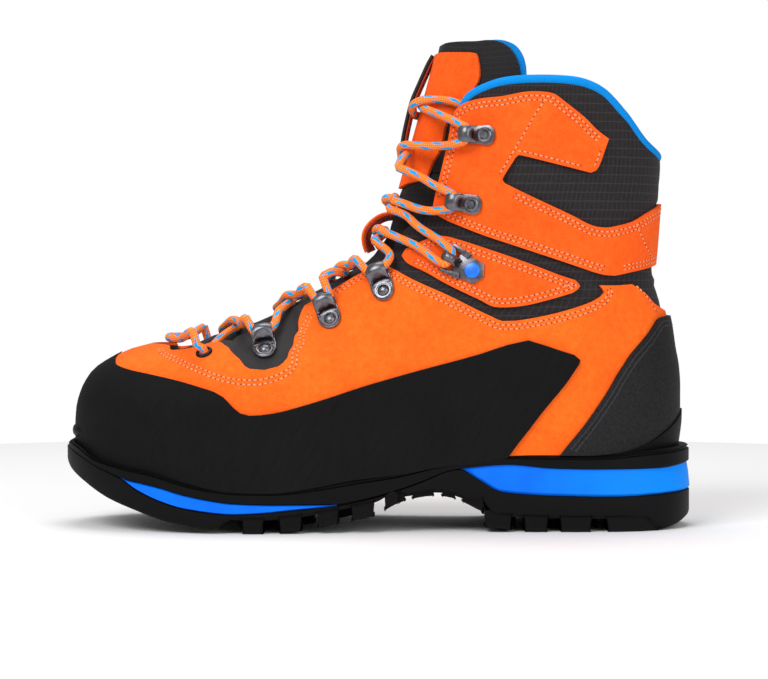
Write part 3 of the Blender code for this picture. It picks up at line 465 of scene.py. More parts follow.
@dataclass(frozen=True)
class Rubber:
    """Moulded or sheet rubber: near black, matt, with a fine slanted brushing on the rand."""

    name: str = "rubber_rand"
    dark: str = "060607"
    light: str = "131315"
    rough: float = 0.62
    streak: float = 1.0
    lean: float = 26.0

    def make(self) -> bpy.types.Material:
        """Builds the material."""
        sh = Shader(self.name)
        where = sh.place()
        leaned = sh.add("ShaderNodeMapping", Vector=where, Rotation=(0, math.radians(-self.lean), 0))
        drawn = sh.add("ShaderNodeMapping", Vector=leaned.outputs[0], Scale=(1, 1, 0.045))
        streaks = sh.noise(drawn.outputs[0], 0.75, 3.0, 0.65)
        grain = sh.noise(where, 0.6, 3.0, 0.6)
        cloud = sh.noise(where, 30.0, 2.0)
        tone = sh.weighted((streaks, 0.55 * self.streak), (grain, 0.25), (cloud, 0.25))
        colour = sh.ramp(tone, (0.35, self.dark), (0.8, self.light))
        normal = sh.bump(streaks, 0.10, 0.5 * self.streak)
        normal = sh.bump(grain, 0.06, 0.6, normal)
        rough = sh.spread(grain, 0.3, 0.7, self.rough, self.rough + 0.16)
        sh.feed(sh.surface, Base_Color=colour, Roughness=rough, Normal=normal, Specular_IOR_Level=0.12)
        return sh.material


@dataclass(frozen=True)
class Foam:
    """Moulded EVA or PU foam: even saturated colour with tiny pores."""

    name: str = "foam_blue"
    body: str = "0070f6"
    shade: str = "0068ee"
    toward_heel: str = "0092ff"
    rough: float = 0.55

    def make(self) -> bpy.types.Material:
        """Builds the material."""
        sh = Shader(self.name)
        where = sh.place()
        cloud = sh.noise(where, 14.0, 3.0)
        pores = sh.noise(where, 0.7, 2.0, 0.6)
        colour = sh.ramp(cloud, (0.35, self.shade), (0.65, self.body))
        # Lighter and bluer towards the heel end, mixed in between 70 and 155 mm along the piece's X.
        along = sh.add("ShaderNodeSeparateXYZ", Vector=where).outputs["X"]
        toward_heel = sh.spread(along, 0.07, 0.155, 0.0, 0.85)
        colour = sh.mix(toward_heel, colour, srgb(self.toward_heel))
        sh.feed(sh.surface, Base_Color=colour, Roughness=self.rough, Normal=sh.bump(pores, 0.07, 0.5),
                Specular_IOR_Level=0.12)
        return sh.material


@dataclass(frozen=True)
class Knit:
    """Knitted lining or binding cloth: small loops in columns, soft and matt."""

    name: str = "knit_blue"
    body: str = "0296ec"
    shade: str = "0472c4"
    loop_mm: float = 0.9

    def make(self) -> bpy.types.Material:
        """Builds the material."""
        sh = Shader(self.name)
        u, v = [sh.math("MULTIPLY", metres, 1000.0 * math.tau / self.loop_mm) for metres in sh.cloth()]
        column = sh.math("SINE", u)
        loops = sh.math("MULTIPLY", column, sh.math("SINE", sh.math("ADD", v, column)))
        height = sh.spread(loops, -1.0, 1.0, 0.0, 1.0)
        # Darker where the loops are low: painted shade in the hollows between them.
        colour = sh.ramp(height, (0.1, self.shade), (0.7, self.body))
        sh.feed(sh.surface, Base_Color=colour, Roughness=0.85, Normal=sh.bump(height, 0.15, 0.7),
                Specular_IOR_Level=0.15)
        return sh.material


@dataclass(frozen=True)
class GrainLeather:
    """Corrected full-grain leather: a pebbled surface with a soft shine."""

    name: str = "leather_black"
    dark: str = "0d0c0e"
    light: str = "201e20"
    grain_mm: float = 1.1

    def make(self) -> bpy.types.Material:
        """Builds the material."""
        sh = Shader(self.name)
        where = sh.place()
        cells = sh.add("ShaderNodeTexVoronoi", {"feature": "SMOOTH_F1"}, Vector=where,
                       Scale=1000.0 / self.grain_mm, Smoothness=0.4).outputs["Distance"]
        fine = sh.noise(where, 0.5, 3.0, 0.6)
        tone = sh.weighted((cells, 0.6), (fine, 0.45))
        colour = sh.ramp(tone, (0.3, self.light), (0.75, self.dark))
        normal = sh.bump(sh.spread(cells, 0.0, 0.8, 1.0, 0.0), 0.16, 0.6)
        sh.feed(sh.surface, Base_Color=colour, Roughness=sh.spread(fine, 0.3, 0.7, 0.5, 0.68), Normal=normal,
                Specular_IOR_Level=0.2)
        return sh.material


@dataclass(frozen=True)
class PlatedMetal:
    """Stamped steel with a dark nickel plating, its edges painted a little brighter as a painted highlight.
    """

    name: str = "metal_gunmetal"
    body: str = "66666c"
    # Lighter colour for the edges: a painted highlight.
    edge_highlight: str = "a4a4aa"
    rough: float = 0.3

    def make(self) -> bpy.types.Material:
        """Builds the material."""
        sh = Shader(self.name)
        where = sh.place()
        cloud = sh.noise(where, 2.2, 4.0, 0.65)
        # Painted highlight: the colour goes lighter at edges, where the rounded normal turns away from the
        # face's own.
        edge = sh.add("ShaderNodeBevel", {"samples": 4}, Radius=0.0004).outputs["Normal"]
        plain = sh.add("ShaderNodeNewGeometry").outputs["Normal"]
        turned = sh.add("ShaderNodeVectorMath", {"operation": "DOT_PRODUCT"}, i0=edge, i1=plain)
        highlit_edges = sh.spread(turned.outputs["Value"], 0.8, 0.99, 1.0, 0.0)
        tone = sh.weighted((cloud, 0.6), (highlit_edges, 0.6))
        colour = sh.ramp(tone, (0.25, self.body), (0.85, self.edge_highlight))
        rough = sh.spread(cloud, 0.3, 0.7, self.rough - 0.06, self.rough + 0.14)
        sh.feed(sh.surface, Base_Color=colour, Metallic=1.0, Roughness=rough,
                Normal=sh.bump(sh.noise(where, 0.35, 2.0), 0.02, 0.5))
        return sh.material


@dataclass(frozen=True)
class Thread:
    """Bonded polyester sewing thread: a slight shine and a twist too fine to see."""

    name: str = "thread_orange"
    body: str = "ffa070"
    shade: str = "f27a3c"

    def make(self) -> bpy.types.Material:
        """Builds the material."""
        sh = Shader(self.name)
        where = sh.place()
        tone = sh.noise(where, 1.5, 3.0)
        colour = sh.ramp(tone, (0.35, self.shade), (0.65, self.body))
        sh.feed(sh.surface, Base_Color=colour, Roughness=0.6)
        return sh.material


@dataclass(frozen=True)
class Braid:
    """Round braided boot lace: diagonal yarns, and pairs of tracer yarns that surface in dashes.

    The UV map runs round the lace in U, from 0 to 1, and along it in V, in metres. TRACERS holds each tracer
    yarn's angle round the lace, and how far along it its dashes are moved in millimetres.
    """

    TRACERS = ((0.0, 0.0), (0.42, 2.2), (1.57, 5.4), (1.99, 7.6), (3.14, 1.0), (3.56, 3.2), (4.71, 7.4),
               (5.13, 9.6))

    name: str = "lace_braid"
    body: str = "ff9a44"
    shade: str = "f06a20"
    tracer: str = "00a4ea"
    yarns: int = 12
    pick_mm: float = 1.25
    dash_mm: float = 13.0

    def make(self) -> bpy.types.Material:
        """Builds the material."""
        sh = Shader(self.name)
        round_share, metres = sh.cloth()
        round_it = sh.math("MULTIPLY", round_share, math.tau)
        along = sh.math("MULTIPLY", metres, 1000.0)
        turns = sh.math("MULTIPLY", round_it, self.yarns / 2)
        pitch = sh.math("MULTIPLY", along, math.tau / self.pick_mm / 2)
        one = sh.math("SINE", sh.math("ADD", turns, pitch))
        two = sh.math("SINE", sh.math("SUBTRACT", turns, pitch))
        height = sh.spread(sh.math("MULTIPLY", one, two), -0.6, 0.9, 0.0, 1.0)
        # The base is darker where the braid is low: painted shade in the grooves between the yarns.
        base = sh.ramp(height, (0.1, self.shade), (0.75, self.body))
        dashes = None
        turned = sh.math("ADD", round_it, sh.math("MULTIPLY", along, 0.03))
        for phase, shift in self.TRACERS:
            near = sh.math("COSINE", sh.math("SUBTRACT", turned, phase))
            line = sh.math("GREATER_THAN", near, 0.978)
            run = sh.math("FRACT", sh.math("DIVIDE", sh.math("ADD", along, shift), self.dash_mm))
            dash = sh.math("MULTIPLY", line, sh.math("LESS_THAN", run, 0.44))
            dashes = dash if dashes is None else sh.math("MAXIMUM", dashes, dash)
        sh.feed(sh.surface, Base_Color=sh.mix(dashes, base, srgb(self.tracer)), Roughness=0.7,
                Normal=sh.bump(height, 0.2, 0.7), Specular_IOR_Level=0.2)
        return sh.material


@dataclass(frozen=True)
class Webbing:
    """Narrow woven tape: close ribs across it, and a different colour on its inner face."""

    name: str = "webbing_black"
    body: str = "262425"
    shade: str = "121112"
    rib_mm: float = 1.0

    def make(self) -> bpy.types.Material:
        """Builds the material."""
        sh = Shader(self.name)
        per_metre = 1000.0 * math.tau / self.rib_mm
        across, along = [sh.math("SINE", sh.math("MULTIPLY", metres, per_metre)) for metres in sh.cloth()]
        height = sh.spread(sh.math("MULTIPLY", across, along), -1.0, 1.0, 0.0, 1.0)
        # Darker where the ribs are low: painted shade between them.
        colour = sh.ramp(height, (0.15, self.shade), (0.8, self.body))
        sh.feed(sh.surface, Base_Color=colour, Roughness=0.75, Normal=sh.bump(height, 0.2, 0.8))
        return sh.material


@dataclass(frozen=True)
class Paint:
    """Enamel on a stamped button: smooth colour with a soft shine."""

    name: str = "enamel_blue"
    body: str = "0078f4"
    shade: str = "0068e0"

    def make(self) -> bpy.types.Material:
        """Builds the material."""
        sh = Shader(self.name)
        where = sh.place()
        colour = sh.ramp(sh.noise(where, 3.0, 2.0), (0.3, self.shade), (0.7, self.body))
        sh.feed(sh.surface, Base_Color=colour, Roughness=0.35, Coat_Weight=0.3, Coat_Roughness=0.2)
        return sh.material


class Finishes:
    """Every finish, made once and handed out by name."""

    def __init__(self) -> None:
        """Makes the materials."""
        self.suede = Suede().make()
        # The vamp and quarters get a lighter, yellower copy of the suede: painted light where they face the
        # lamps.
        self.suede_painted_lit = Suede("suede_orange_painted_lit", "f6560c", "fe6614", "ff7a20").make()
        self.ripstop = Ripstop().make()
        self.plain_cloth = Ripstop("softshell_black", "121112", "2c282a", 2.6, 0.7).make()
        self.rand = Rubber().make()
        self.sole = Rubber("rubber_sole", "080708", "121113", 0.5, 0.25).make()
        self.frame = Rubber("midsole_black", "040405", "0a0a0b", 0.45, 0.12).make()
        self.foam = Foam().make()
        self.binding = Knit().make()
        self.lining = Knit("lining_blue", "0a7fe0", "0552a0", 1.4).make()
        self.leather = GrainLeather().make()
        self.metal = PlatedMetal().make()
        self.dark_metal = PlatedMetal("metal_dark", "232327", "4b4b52", 0.42).make()
        self.thread = Thread().make()
        self.thread_black = Thread("thread_black", "242224", "100f10").make()
        # Needle holes are drawn as dark discs: painted shade where the thread goes into the leather.
        self.hole_shade = Thread("needle_hole_shade", "a83008", "801c04").make()
        self.lace = Braid().make()
        self.webbing = Webbing().make()
        self.webbing_red = Webbing("webbing_orange", "c2461c", "7a2208").make()
        self.enamel = Paint().make()
        self.board = Foam("board_grey", "8a8478", "6f695e", "8a8478", 0.9).make()


# --- Making meshes ----------------------------------------------------------------------------------------


class Workshop:
    """Turns meshes in millimetres into finished pieces on the right body."""

    ANKLE_START = (60.0, 130.5)
    ANKLE_END = (62.7, 144.2)
    FOLD_START, FOLD_END = (23.0, 197.0), (23.0, 210.0)

    def __init__(self, finishes: Finishes) -> None:
        """Keeps the finishes."""
        self.finishes = finishes
        self.cell = 1.0

    @staticmethod
    def spot(x: float, z: float) -> tuple[float, float, float]:
        """A side-view place on the middle plane, in the frame's metres."""
        return ((x - BOX_MIDDLE[0]) * MM, -BOX_MIDDLE[1] * MM, z * MM)

    def finish(self, name: str, bm: bmesh.types.BMesh, material: bpy.types.Material, slot: str,
               replaces: Sequence[str] = (), sharp: float = 40.0, recalc: bool = True) -> bpy.types.Object:
        """Makes a bmesh in millimetres into a named piece in the frame.

        Args:
            name: The piece's name.
            bm: Its shape, which is freed.
            material: Its finish.
            slot: The frame's material slot; not used.
            replaces: The frame's nodes that it stands for.
            sharp: Edges that turn by more than this many degrees stay crisp.
            recalc: Turn the faces outwards first.

        Returns:
            The new object.
        """
        if recalc:
            bmesh.ops.recalc_face_normals(bm, faces=bm.faces)
            if bm.calc_volume(signed=True) < 0:
                bmesh.ops.reverse_faces(bm, faces=bm.faces)
        bmesh.ops.translate(bm, vec=(-BOX_MIDDLE[0], -BOX_MIDDLE[1], 0), verts=bm.verts)
        bmesh.ops.scale(bm, vec=(MM, MM, MM), verts=bm.verts)
        mesh = bpy.data.meshes.new(name)
        bm.to_mesh(mesh)
        bm.free()
        mesh.shade_smooth()
        mesh.set_sharp_from_angle(angle=math.radians(sharp))
        mesh.materials.append(material)
        piece = bpy.data.objects.new(name, mesh)
        bpy.context.scene.collection.objects.link(piece)
        if replaces:
            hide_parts(*replaces)
        LOG.info("%s: %d faces", name, len(mesh.polygons))
        return piece

    def attach(self, piece: bpy.types.Object, body: Optional[Body]) -> bpy.types.Object:
        """Rides a piece on a body, or bakes its place into its mesh where body is None."""
        if body is None:
            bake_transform(piece)
        else:
            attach(piece, body.value)
        return piece

    def fold_tongue(self, piece: bpy.types.Object) -> bpy.types.Object:
        """Bakes a piece's place into its mesh."""
        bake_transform(piece)
        return piece


def grid_lines(low: float, high: float, step: float) -> list[float]:
    """Even places, step apart and through zero, between two values."""
    return [n * step for n in range(math.ceil(low / step), math.floor(high / step) + 1)]


def lift_at(lift: Lift, turn: np.ndarray, z: np.ndarray) -> np.ndarray:
    """A lift's values at places."""
    return lift(turn, z) if callable(lift) else np.full(len(turn), float(lift))


@dataclass
class Panel:
    """A sheet of the upper, cut to an outline in the chart and given its thickness.

    The rim is rounded by a bevel, and the Cloth UV map is the panel's own cloth in metres.
    """

    name: str
    outline: np.ndarray
    inner: Lift
    outer: Lift
    turn_step: float = 0.010
    height_step: float = 3.0
    rim: float = 0.35
    level: float = 90.0

    def mesh(self, coarseness: float) -> bmesh.types.BMesh:
        """Cuts the sheet along even chart lines, closes it and places it on the upper."""
        bm = bmesh.new()
        steps = np.linalg.norm(np.diff(self.outline * [TURN_MM, 1], axis=0), axis=1)
        flat = self.outline[np.r_[True, steps > 1e-3]] * [TURN_MM, 1]
        bm.faces.new([bm.verts.new((across, z, 0)) for across, z in flat])
        (left, low), (right, high) = flat.min(axis=0), flat.max(axis=0)
        cuts = [(Vector((1, 0, 0)), grid_lines(left, right, self.turn_step * TURN_MM * coarseness)),
                (Vector((0, 1, 0)), grid_lines(low, high, self.height_step * coarseness))]
        for axis, places in cuts:
            for at in places:
                everything = bm.verts[:] + bm.edges[:] + bm.faces[:]
                bmesh.ops.bisect_plane(bm, geom=everything, dist=1e-4, plane_co=axis * at, plane_no=axis)
        marks = bm.verts.layers.float.new("turn"), bm.verts.layers.float.new("height")
        uv = bm.loops.layers.uv.new("Cloth")
        table = np.linspace(-1.02, 2.02, 1600)
        ring = UPPER.ring(table, np.full(len(table), self.level))
        arc = lengths_along(ring)
        for face in bm.faces:
            for loop in face.loops:
                turn = loop.vert.co.x / TURN_MM
                loop[uv].uv = (float(np.interp(turn, table, arc)) * MM, loop.vert.co.y * MM)
        flat = np.array([(v.co.x / TURN_MM, v.co.y) for v in bm.verts])
        outer = UPPER.place(flat[:, 0], flat[:, 1], lift_at(self.outer, flat[:, 0], flat[:, 1]))
        for vert, (turn, z), point in zip(bm.verts, flat, outer):
            vert[marks[0]], vert[marks[1]] = turn, z
            vert.co = point
        bmesh.ops.remove_doubles(bm, verts=bm.verts, dist=0.01)
        made = bmesh.ops.extrude_face_region(bm, geom=bm.faces[:], use_keep_orig=True)
        verts = [item for item in made["geom"] if isinstance(item, bmesh.types.BMVert)]
        flat = np.array([(v[marks[0]], v[marks[1]]) for v in verts])
        inner = UPPER.place(flat[:, 0], flat[:, 1], lift_at(self.inner, flat[:, 0], flat[:, 1]))
        for vert, point in zip(verts, inner):
            vert.co = point
        return bm

    def build(self, shop: Workshop, material: bpy.types.Material, slot: str,
              replaces: Sequence[str] = ()) -> bpy.types.Object:
        """Builds the panel as a finished piece."""
        piece = shop.finish(self.name, self.mesh(shop.cell), material, slot, replaces, sharp=50.0)
        if self.rim:
            bevel = piece.modifiers.new("Rounded rim", "BEVEL")
            bevel.width = self.rim * MM
            bevel.segments = 2
            bevel.limit_method = "ANGLE"
            bevel.angle_limit = math.radians(55)
        return piece


class Seam:
    """A row of lock stitches on the upper, and dark discs of painted shade for the needle holes between them.
    """

    PITCH = 2.6
    THREAD = 0.82

    def __init__(self, name: str, lines: Iterable[np.ndarray], lift: Lift) -> None:
        """Args:
        name: Name of the piece.
        lines: Chart lines that the thread follows.
        lift: Height of the leather's face off the upper.
        """
        self.name = name
        self.lines = list(lines)
        self.lift = lift

    def template(self, length: float, width: float, height: float) -> bpy.types.Mesh:
        """One stitch: a small ball drawn out along X."""
        bm = bmesh.new()
        bmesh.ops.create_uvsphere(bm, u_segments=8, v_segments=5, radius=0.5)
        bmesh.ops.rotate(bm, cent=(0, 0, 0), matrix=Matrix.Rotation(math.pi / 2, 3, "Y"), verts=bm.verts)
        bmesh.ops.scale(bm, vec=(length, width, height), verts=bm.verts)
        mesh = bpy.data.meshes.new("stitch")
        bm.to_mesh(mesh)
        bm.free()
        return mesh

    def places(self, shift: float) -> list[Matrix]:
        """Frames along the lines, one pitch apart: X along the seam, Z off the leather."""
        frames = []
        for line in self.lines:
            points = UPPER.place(line[:, 0], line[:, 1], lift_at(self.lift, line[:, 0], line[:, 1]))
            along = lengths_along(points)
            count = int((along[-1] - 1.0) / self.PITCH)
            for n in range(count):
                at = (n + 0.5 + shift) * self.PITCH
                turn, z = np.interp(at, along, line[:, 0]), np.interp(at, along, line[:, 1])
                here = Vector([np.interp(at, along, points[:, axis]) for axis in range(3)])
                ahead = Vector([np.interp(at + 0.8, along, points[:, axis]) for axis in range(3)])
                behind = Vector([np.interp(at - 0.8, along, points[:, axis]) for axis in range(3)])
                up = Vector(UPPER.normal(np.array([turn]), np.array([z]))[0])
                run = ahead - behind
                run = (run - up * run.dot(up)).normalized()
                turned = Matrix((run, up.cross(run), up)).transposed().to_4x4()
                frames.append(Matrix.Translation(here) @ turned)
        return frames

    def scatter(self, template: bpy.types.Mesh, frames: list[Matrix], sink: float) -> bmesh.types.BMesh:
        """Copies of a template at each frame."""
        bm = bmesh.new()
        for at in frames:
            copy = template.copy()
            copy.transform(at @ Matrix.Translation((0, 0, -sink)))
            bm.from_mesh(copy)
            bpy.data.meshes.remove(copy)
        return bm

    def build(self, shop: Workshop, thread: bpy.types.Material, hole_shade: bpy.types.Material, slot: str,
              body: Optional[Body]) -> None:
        """Builds the stitches, and the dark discs of painted shade for their needle holes."""
        stitch = self.template(self.PITCH * 0.74, self.THREAD, self.THREAD * 0.75)
        rows = [(f"{self.name}_stitches", stitch, 0.0, thread, 0.02)]
        # Needle holes: flat dark discs between the stitches, painted shade where the thread goes into the
        # leather.
        punch = self.template(1.0, 0.95, 0.14)
        rows.append((f"{self.name}_needle_hole_shades", punch, 0.5, hole_shade, 0.0))
        for name, template, shift, material, sink in rows:
            bm = self.scatter(template, self.places(shift), sink)
            piece = shop.finish(name, bm, material, slot, recalc=False)
            shop.attach(piece, body)
            bpy.data.meshes.remove(template)


def both_sides(line: np.ndarray) -> list[np.ndarray]:
    """A chart line and its mirror image on the outer side."""
    return [line, line * [-1, 1]]


def beside(half: np.ndarray, distance: float, trim: float = 0.0) -> np.ndarray:
    """A chart line inset by a distance and cut back at both ends by trim millimetres."""
    line = UPPER.inset(half, distance)
    if trim:
        points = UPPER.ring(line[:, 0], line[:, 1])
        along = lengths_along(points)
        keep = (along > trim) & (along < along[-1] - trim)
        line = line[keep]
    return line


def rows(run: np.ndarray, distances: Sequence[float], trim: float) -> list[np.ndarray]:
    """Seam lines at distances from a run, cut back by trim millimetres, on both sides of the boot."""
    return [line for distance in distances for line in both_sides(beside(run, distance, trim))]


def frames_along(points: np.ndarray, first_out: Sequence[float],
                 outs: Optional[np.ndarray] = None) -> np.ndarray:
    """Frames that travel along a path without twisting.

    Args:
        points: The path.
        first_out: Which way is out at its start.
        outs: Outward directions at every point, where the path lies on something.

    Returns:
        For each point, the across and out directions.
    """
    along = np.gradient(points, axis=0)
    along /= np.linalg.norm(along, axis=1, keepdims=True)
    out = np.array(first_out, float)
    found = []
    for i, direction in enumerate(along):
        out = out if outs is None else outs[i]
        out = out - direction * np.dot(out, direction)
        out /= np.linalg.norm(out)
        found.append((np.cross(direction, out), out))
    return np.array(found)


def sweep(points: np.ndarray, frames: np.ndarray, section: np.ndarray, whole_turns: bool = False,
          scale: Optional[np.ndarray] = None) -> bmesh.types.BMesh:
    """A closed cross-section carried along a path, capped at both ends.

    Args:
        points: The path, in millimetres.
        frames: Across and out directions at each point.
        section: (across, out) places of the section, not repeating the first.
        whole_turns: U of the Cloth map runs from 0 to 1 round the section, and not in metres.
        scale: Size of the section at each point.

    Returns:
        The shape, with its Cloth map in metres along V.
    """
    count, sides = len(points), len(section)
    bm = bmesh.new()
    bmesh.ops.create_grid(bm, x_segments=sides, y_segments=count - 1, size=1.0)
    uv = bm.loops.layers.uv.new("Cloth")
    along = lengths_along(points)
    ring = np.vstack([section, section[:1]])
    around = lengths_along(ring)
    around = around / around[-1] if whole_turns else around * MM
    scale = np.ones(count) if scale is None else scale
    cells = {vert: (round((vert.co.x + 1) / 2 * sides),
                    round((vert.co.y + 1) / 2 * (count - 1))) for vert in bm.verts}
    for face in bm.faces:
        for loop in face.loops:
            i, j = cells[loop.vert]
            loop[uv].uv = (around[i], along[j] * MM)
    for vert, (i, j) in cells.items():
        across, out = section[i % sides] * scale[j]
        vert.co = points[j] + frames[j, 0] * across + frames[j, 1] * out
    bmesh.ops.remove_doubles(bm, verts=bm.verts, dist=1e-4)
    open_edges = [edge for edge in bm.edges if edge.is_boundary]
    bmesh.ops.holes_fill(bm, edges=open_edges, sides=0)
    return bm


def circle(radius: float, sides: int) -> np.ndarray:
    """A round cross-section."""
    angle = np.arange(sides) * math.tau / sides
    return np.stack([np.cos(angle), np.sin(angle)], axis=1) * radius


def rounded_bar(width: float, thick: float, corner: int = 4) -> np.ndarray:
    """A flat cross-section with round edges, centred across and standing on out = 0."""
    radius = thick / 2
    angles = np.linspace(-math.pi / 2, math.pi / 2, corner + 1)
    right = [(width / 2 - radius + radius * math.cos(a), radius + radius * math.sin(a)) for a in angles]
    middle = [(x, thick) for x in np.linspace(width / 2 - radius, -width / 2 + radius, 8)[1:-1]]
    left = [(-x, z) for x, z in reversed(right)]
    below = [(x, 0.0) for x in np.linspace(-width / 2 + radius, width / 2 - radius, 8)[1:-1]]
    return np.array(right + middle + left + below)


def spun(profile: Sequence[tuple[float, float]], steps: int = 32) -> bmesh.types.BMesh:
    """A profile of (radius, height) turned round Z."""
    bm = bmesh.new()
    verts = [bm.verts.new((radius, 0, z)) for radius, z in profile]
    edges = [bm.edges.new(pair) for pair in zip(verts, verts[1:])]
    bmesh.ops.spin(bm, geom=verts + edges, cent=(0, 0, 0), axis=(0, 0, 1), angle=math.tau, steps=steps,
                   use_merge=True)
    bmesh.ops.remove_doubles(bm, verts=bm.verts, dist=1e-4)
    return bm


def add_to(bm: bmesh.types.BMesh, other: bmesh.types.BMesh, at: Optional[Matrix] = None) -> None:
    """Adds a closed shape to another, moved by a matrix, and frees it."""
    bmesh.ops.recalc_face_normals(other, faces=other.faces)
    if other.calc_volume(signed=True) < 0:
        bmesh.ops.reverse_faces(other, faces=other.faces)
    if at is not None:
        bmesh.ops.transform(other, matrix=at, verts=other.verts)
    mesh = bpy.data.meshes.new("part")
    other.to_mesh(mesh)
    other.free()
    bm.from_mesh(mesh)
    bpy.data.meshes.remove(mesh)


def bevel_all(bm: bmesh.types.BMesh, offset: float, segments: int = 2, angle: float = 35.0) -> None:
    """Rounds every edge that turns by more than an angle in degrees."""
    sharp = [e for e in bm.edges if len(e.link_faces) == 2 and e.calc_face_angle(0) > math.radians(angle)]
    bmesh.ops.bevel(bm, geom=sharp, offset=offset, segments=segments, affect="EDGES", profile=0.5,
                    material=-1)


class Maker:
    """Builds the pieces of one part of the boot."""

    def __init__(self, shop: Workshop, looks: Finishes) -> None:
        """Keeps the shop and the finishes."""
        self.shop, self.looks = shop, looks


# --- Sole -------------------------------------------------------------------------------------------------


class SoleUnit(Maker):
    """Everything between the ground and the foot."""

    TOE_X, HEEL_X = -153.4, 152.0
    TOE_ROUNDING, HEEL_ROUNDING = 84.0, 58.0
    width = Profile([(-150, 50), (-110, 54), (-70, 55.6), (-30, 52), (10, 46), (50, 42.5), (100, 41),
                     (150, 40)])
    ground = Profile([(-153.6, 31.4), (-150, 27.4), (-143, 22.6), (-131, 15.8), (-116, 10.2), (-104, 6.2),
                      (-93, 3.8), (-80, 1.8), (-72, 0.8), (-59, 0.2), (-42, 1.2), (-19, 5.0), (-2, 8.3),
                      (7.6, 13.6), (16, 16.3), (25.7, 17.6), (30, 17.4), (35.5, 16.3), (40, 14.6),
                      (46, 11.4), (49.8, 9.6), (50.6, 2.6), (80, 0.4), (119, 0), (134, 0.3), (143, 2.0),
                      (152, 6.0)])
    rubber_top = Profile([(-153, 39), (-146, 35.5), (-135, 30), (-123, 25), (-115.8, 20.2), (-105, 15.3),
                          (-92, 11.6), (-69, 9.2), (-58, 9.6), (-43, 11), (-19, 13.4), (0, 17.4), (20, 24),
                          (34, 29.6), (38.4, 30.2), (48, 25), (59, 19.2), (83, 17.4), (113, 16.8),
                          (153, 18.3)])
    insert_top = Profile([(-125, 25.4), (-105, 21.4), (-94, 18.3), (-83, 16.1), (-69, 14.2), (-48, 13.6),
                          (-19, 13.6)])
    wedge_top = Profile([(35, 30.2), (45, 31), (62, 32.1), (83, 30.3), (103, 29.8), (134, 29.8), (153, 31.6)])
    welt = Profile([(-153, 42), (-147, 39.5), (-138, 34), (-124, 31), (-110, 28.6), (-94, 24), (-79, 21),
                    (-63, 20), (-48, 20), (-33, 22), (-12, 26), (10, 28.6), (31, 32.4), (45, 33.4),
                    (61, 36), (104, 36), (127, 38), (153, 40)])
    TREAD_DEPTH = 6.2
    FRONT_LUGS = ((-64.2, -54.8), (-46.7, -36.8), (-28.8, -19.3), (-12.7, -2.3), (2.9, 10.0))
    ARCH_TEETH = ((9.0, 12.4), (16.0, 26.0), (30.2, 36.2), (39.8, 49.6))
    HEEL_LUGS = ((50.8, 62.8), (69.5, 80.1), (86.8, 100.9), (109.1, 134.0))
    MIDDLE_LUGS = ((-63, -51), (-43, -31), (-23, -11))
    HEEL_MIDDLE_LUGS = ((54, 66), (74, 86), (94, 106), (114, 130))

    def edge(self, x: np.ndarray, side: int, inset: float = 0.0) -> np.ndarray:
        """y of the sole's edge."""
        toe = round_end(x - self.TOE_X - inset, self.TOE_ROUNDING * (1.08 if side < 0 else 0.9))
        heel = round_end(self.HEEL_X - inset - x, self.HEEL_ROUNDING)
        return UPPER.middle(x) + side * (self.width.at(x) - inset) * toe * heel

    def layer(self, low_x: float, high_x: float, levels: Sequence[tuple[float, Callable]],
              inset: float = 0.0) -> bmesh.types.BMesh:
        """A layer of the sole, built up through levels.

        Args:
            low_x: Its toe end.
            high_x: Its heel end.
            levels: (inset, height of x) from the lowest up.
            inset: Distance of its plan outline from the sole's edge.

        Returns:
            The closed shape.
        """
        low_x, high_x = max(low_x, self.TOE_X + inset), min(high_x, self.HEEL_X - inset)
        share = (1 - np.cos(np.linspace(0, math.pi, 90))) / 2
        stops = low_x + (high_x - low_x) * share
        plan = np.vstack([np.stack([stops, self.edge(stops, -1, inset)], 1),
                          np.stack([stops, self.edge(stops, 1, inset)], 1)[::-1]])
        keep = np.linalg.norm(plan - np.roll(plan, 1, axis=0), axis=1) > 0.02
        bm = bmesh.new()
        bm.faces.new([bm.verts.new((x, y, 0)) for x, y in plan[keep]])
        for at in grid_lines(low_x, high_x, 5.0):
            geom = bm.verts[:] + bm.edges[:] + bm.faces[:]
            bmesh.ops.bisect_plane(bm, geom=geom, dist=1e-4, plane_co=(at, 0, 0), plane_no=(1, 0, 0))
        x_layer, y_layer = bm.verts.layers.float.new("x"), bm.verts.layers.float.new("y")
        for vert in bm.verts:
            vert[x_layer], vert[y_layer] = vert.co.x, vert.co.y
        region = bm.faces[:]
        self.raise_level(bm.verts[:], x_layer, y_layer, levels[0])
        for number, level in enumerate(levels[1:]):
            made = bmesh.ops.extrude_face_region(bm, geom=region, use_keep_orig=number == 0)["geom"]
            if number:
                bmesh.ops.delete(bm, geom=[face for face in region if face.is_valid], context="FACES_ONLY")
            region = [item for item in made if isinstance(item, bmesh.types.BMFace)]
            verts = [item for item in made if isinstance(item, bmesh.types.BMVert)]
            self.raise_level(verts, x_layer, y_layer, level)
        return bm

    def raise_level(self, verts: Sequence[bmesh.types.BMVert], x_layer: object, y_layer: object,
                    level: tuple[float, Callable]) -> None:
        """Moves a level's places in from the edge and up to its height."""
        inset, height = level
        for vert in verts:
            x, y = vert[x_layer], vert[y_layer]
            middle = float(UPPER.middle(x))
            reach = float(self.width.at(x))
            new_x = x * (1 - inset / 152.0)
            new_y = middle + (y - middle) * max(0.0, 1 - inset / reach)
            vert.co = Vector((new_x, new_y, float(height(np.array(x)))))

    def root(self, x: np.ndarray) -> np.ndarray:
        """Height of the outsole's face between its lugs."""
        arch = 1 - 0.75 * ease(6, 14, x) * (1 - ease(42, 50, x))
        return self.ground.at(x) + self.TREAD_DEPTH * ease(-76.5, -73.5, x) * (1 - ease(129, 133, x)) * arch

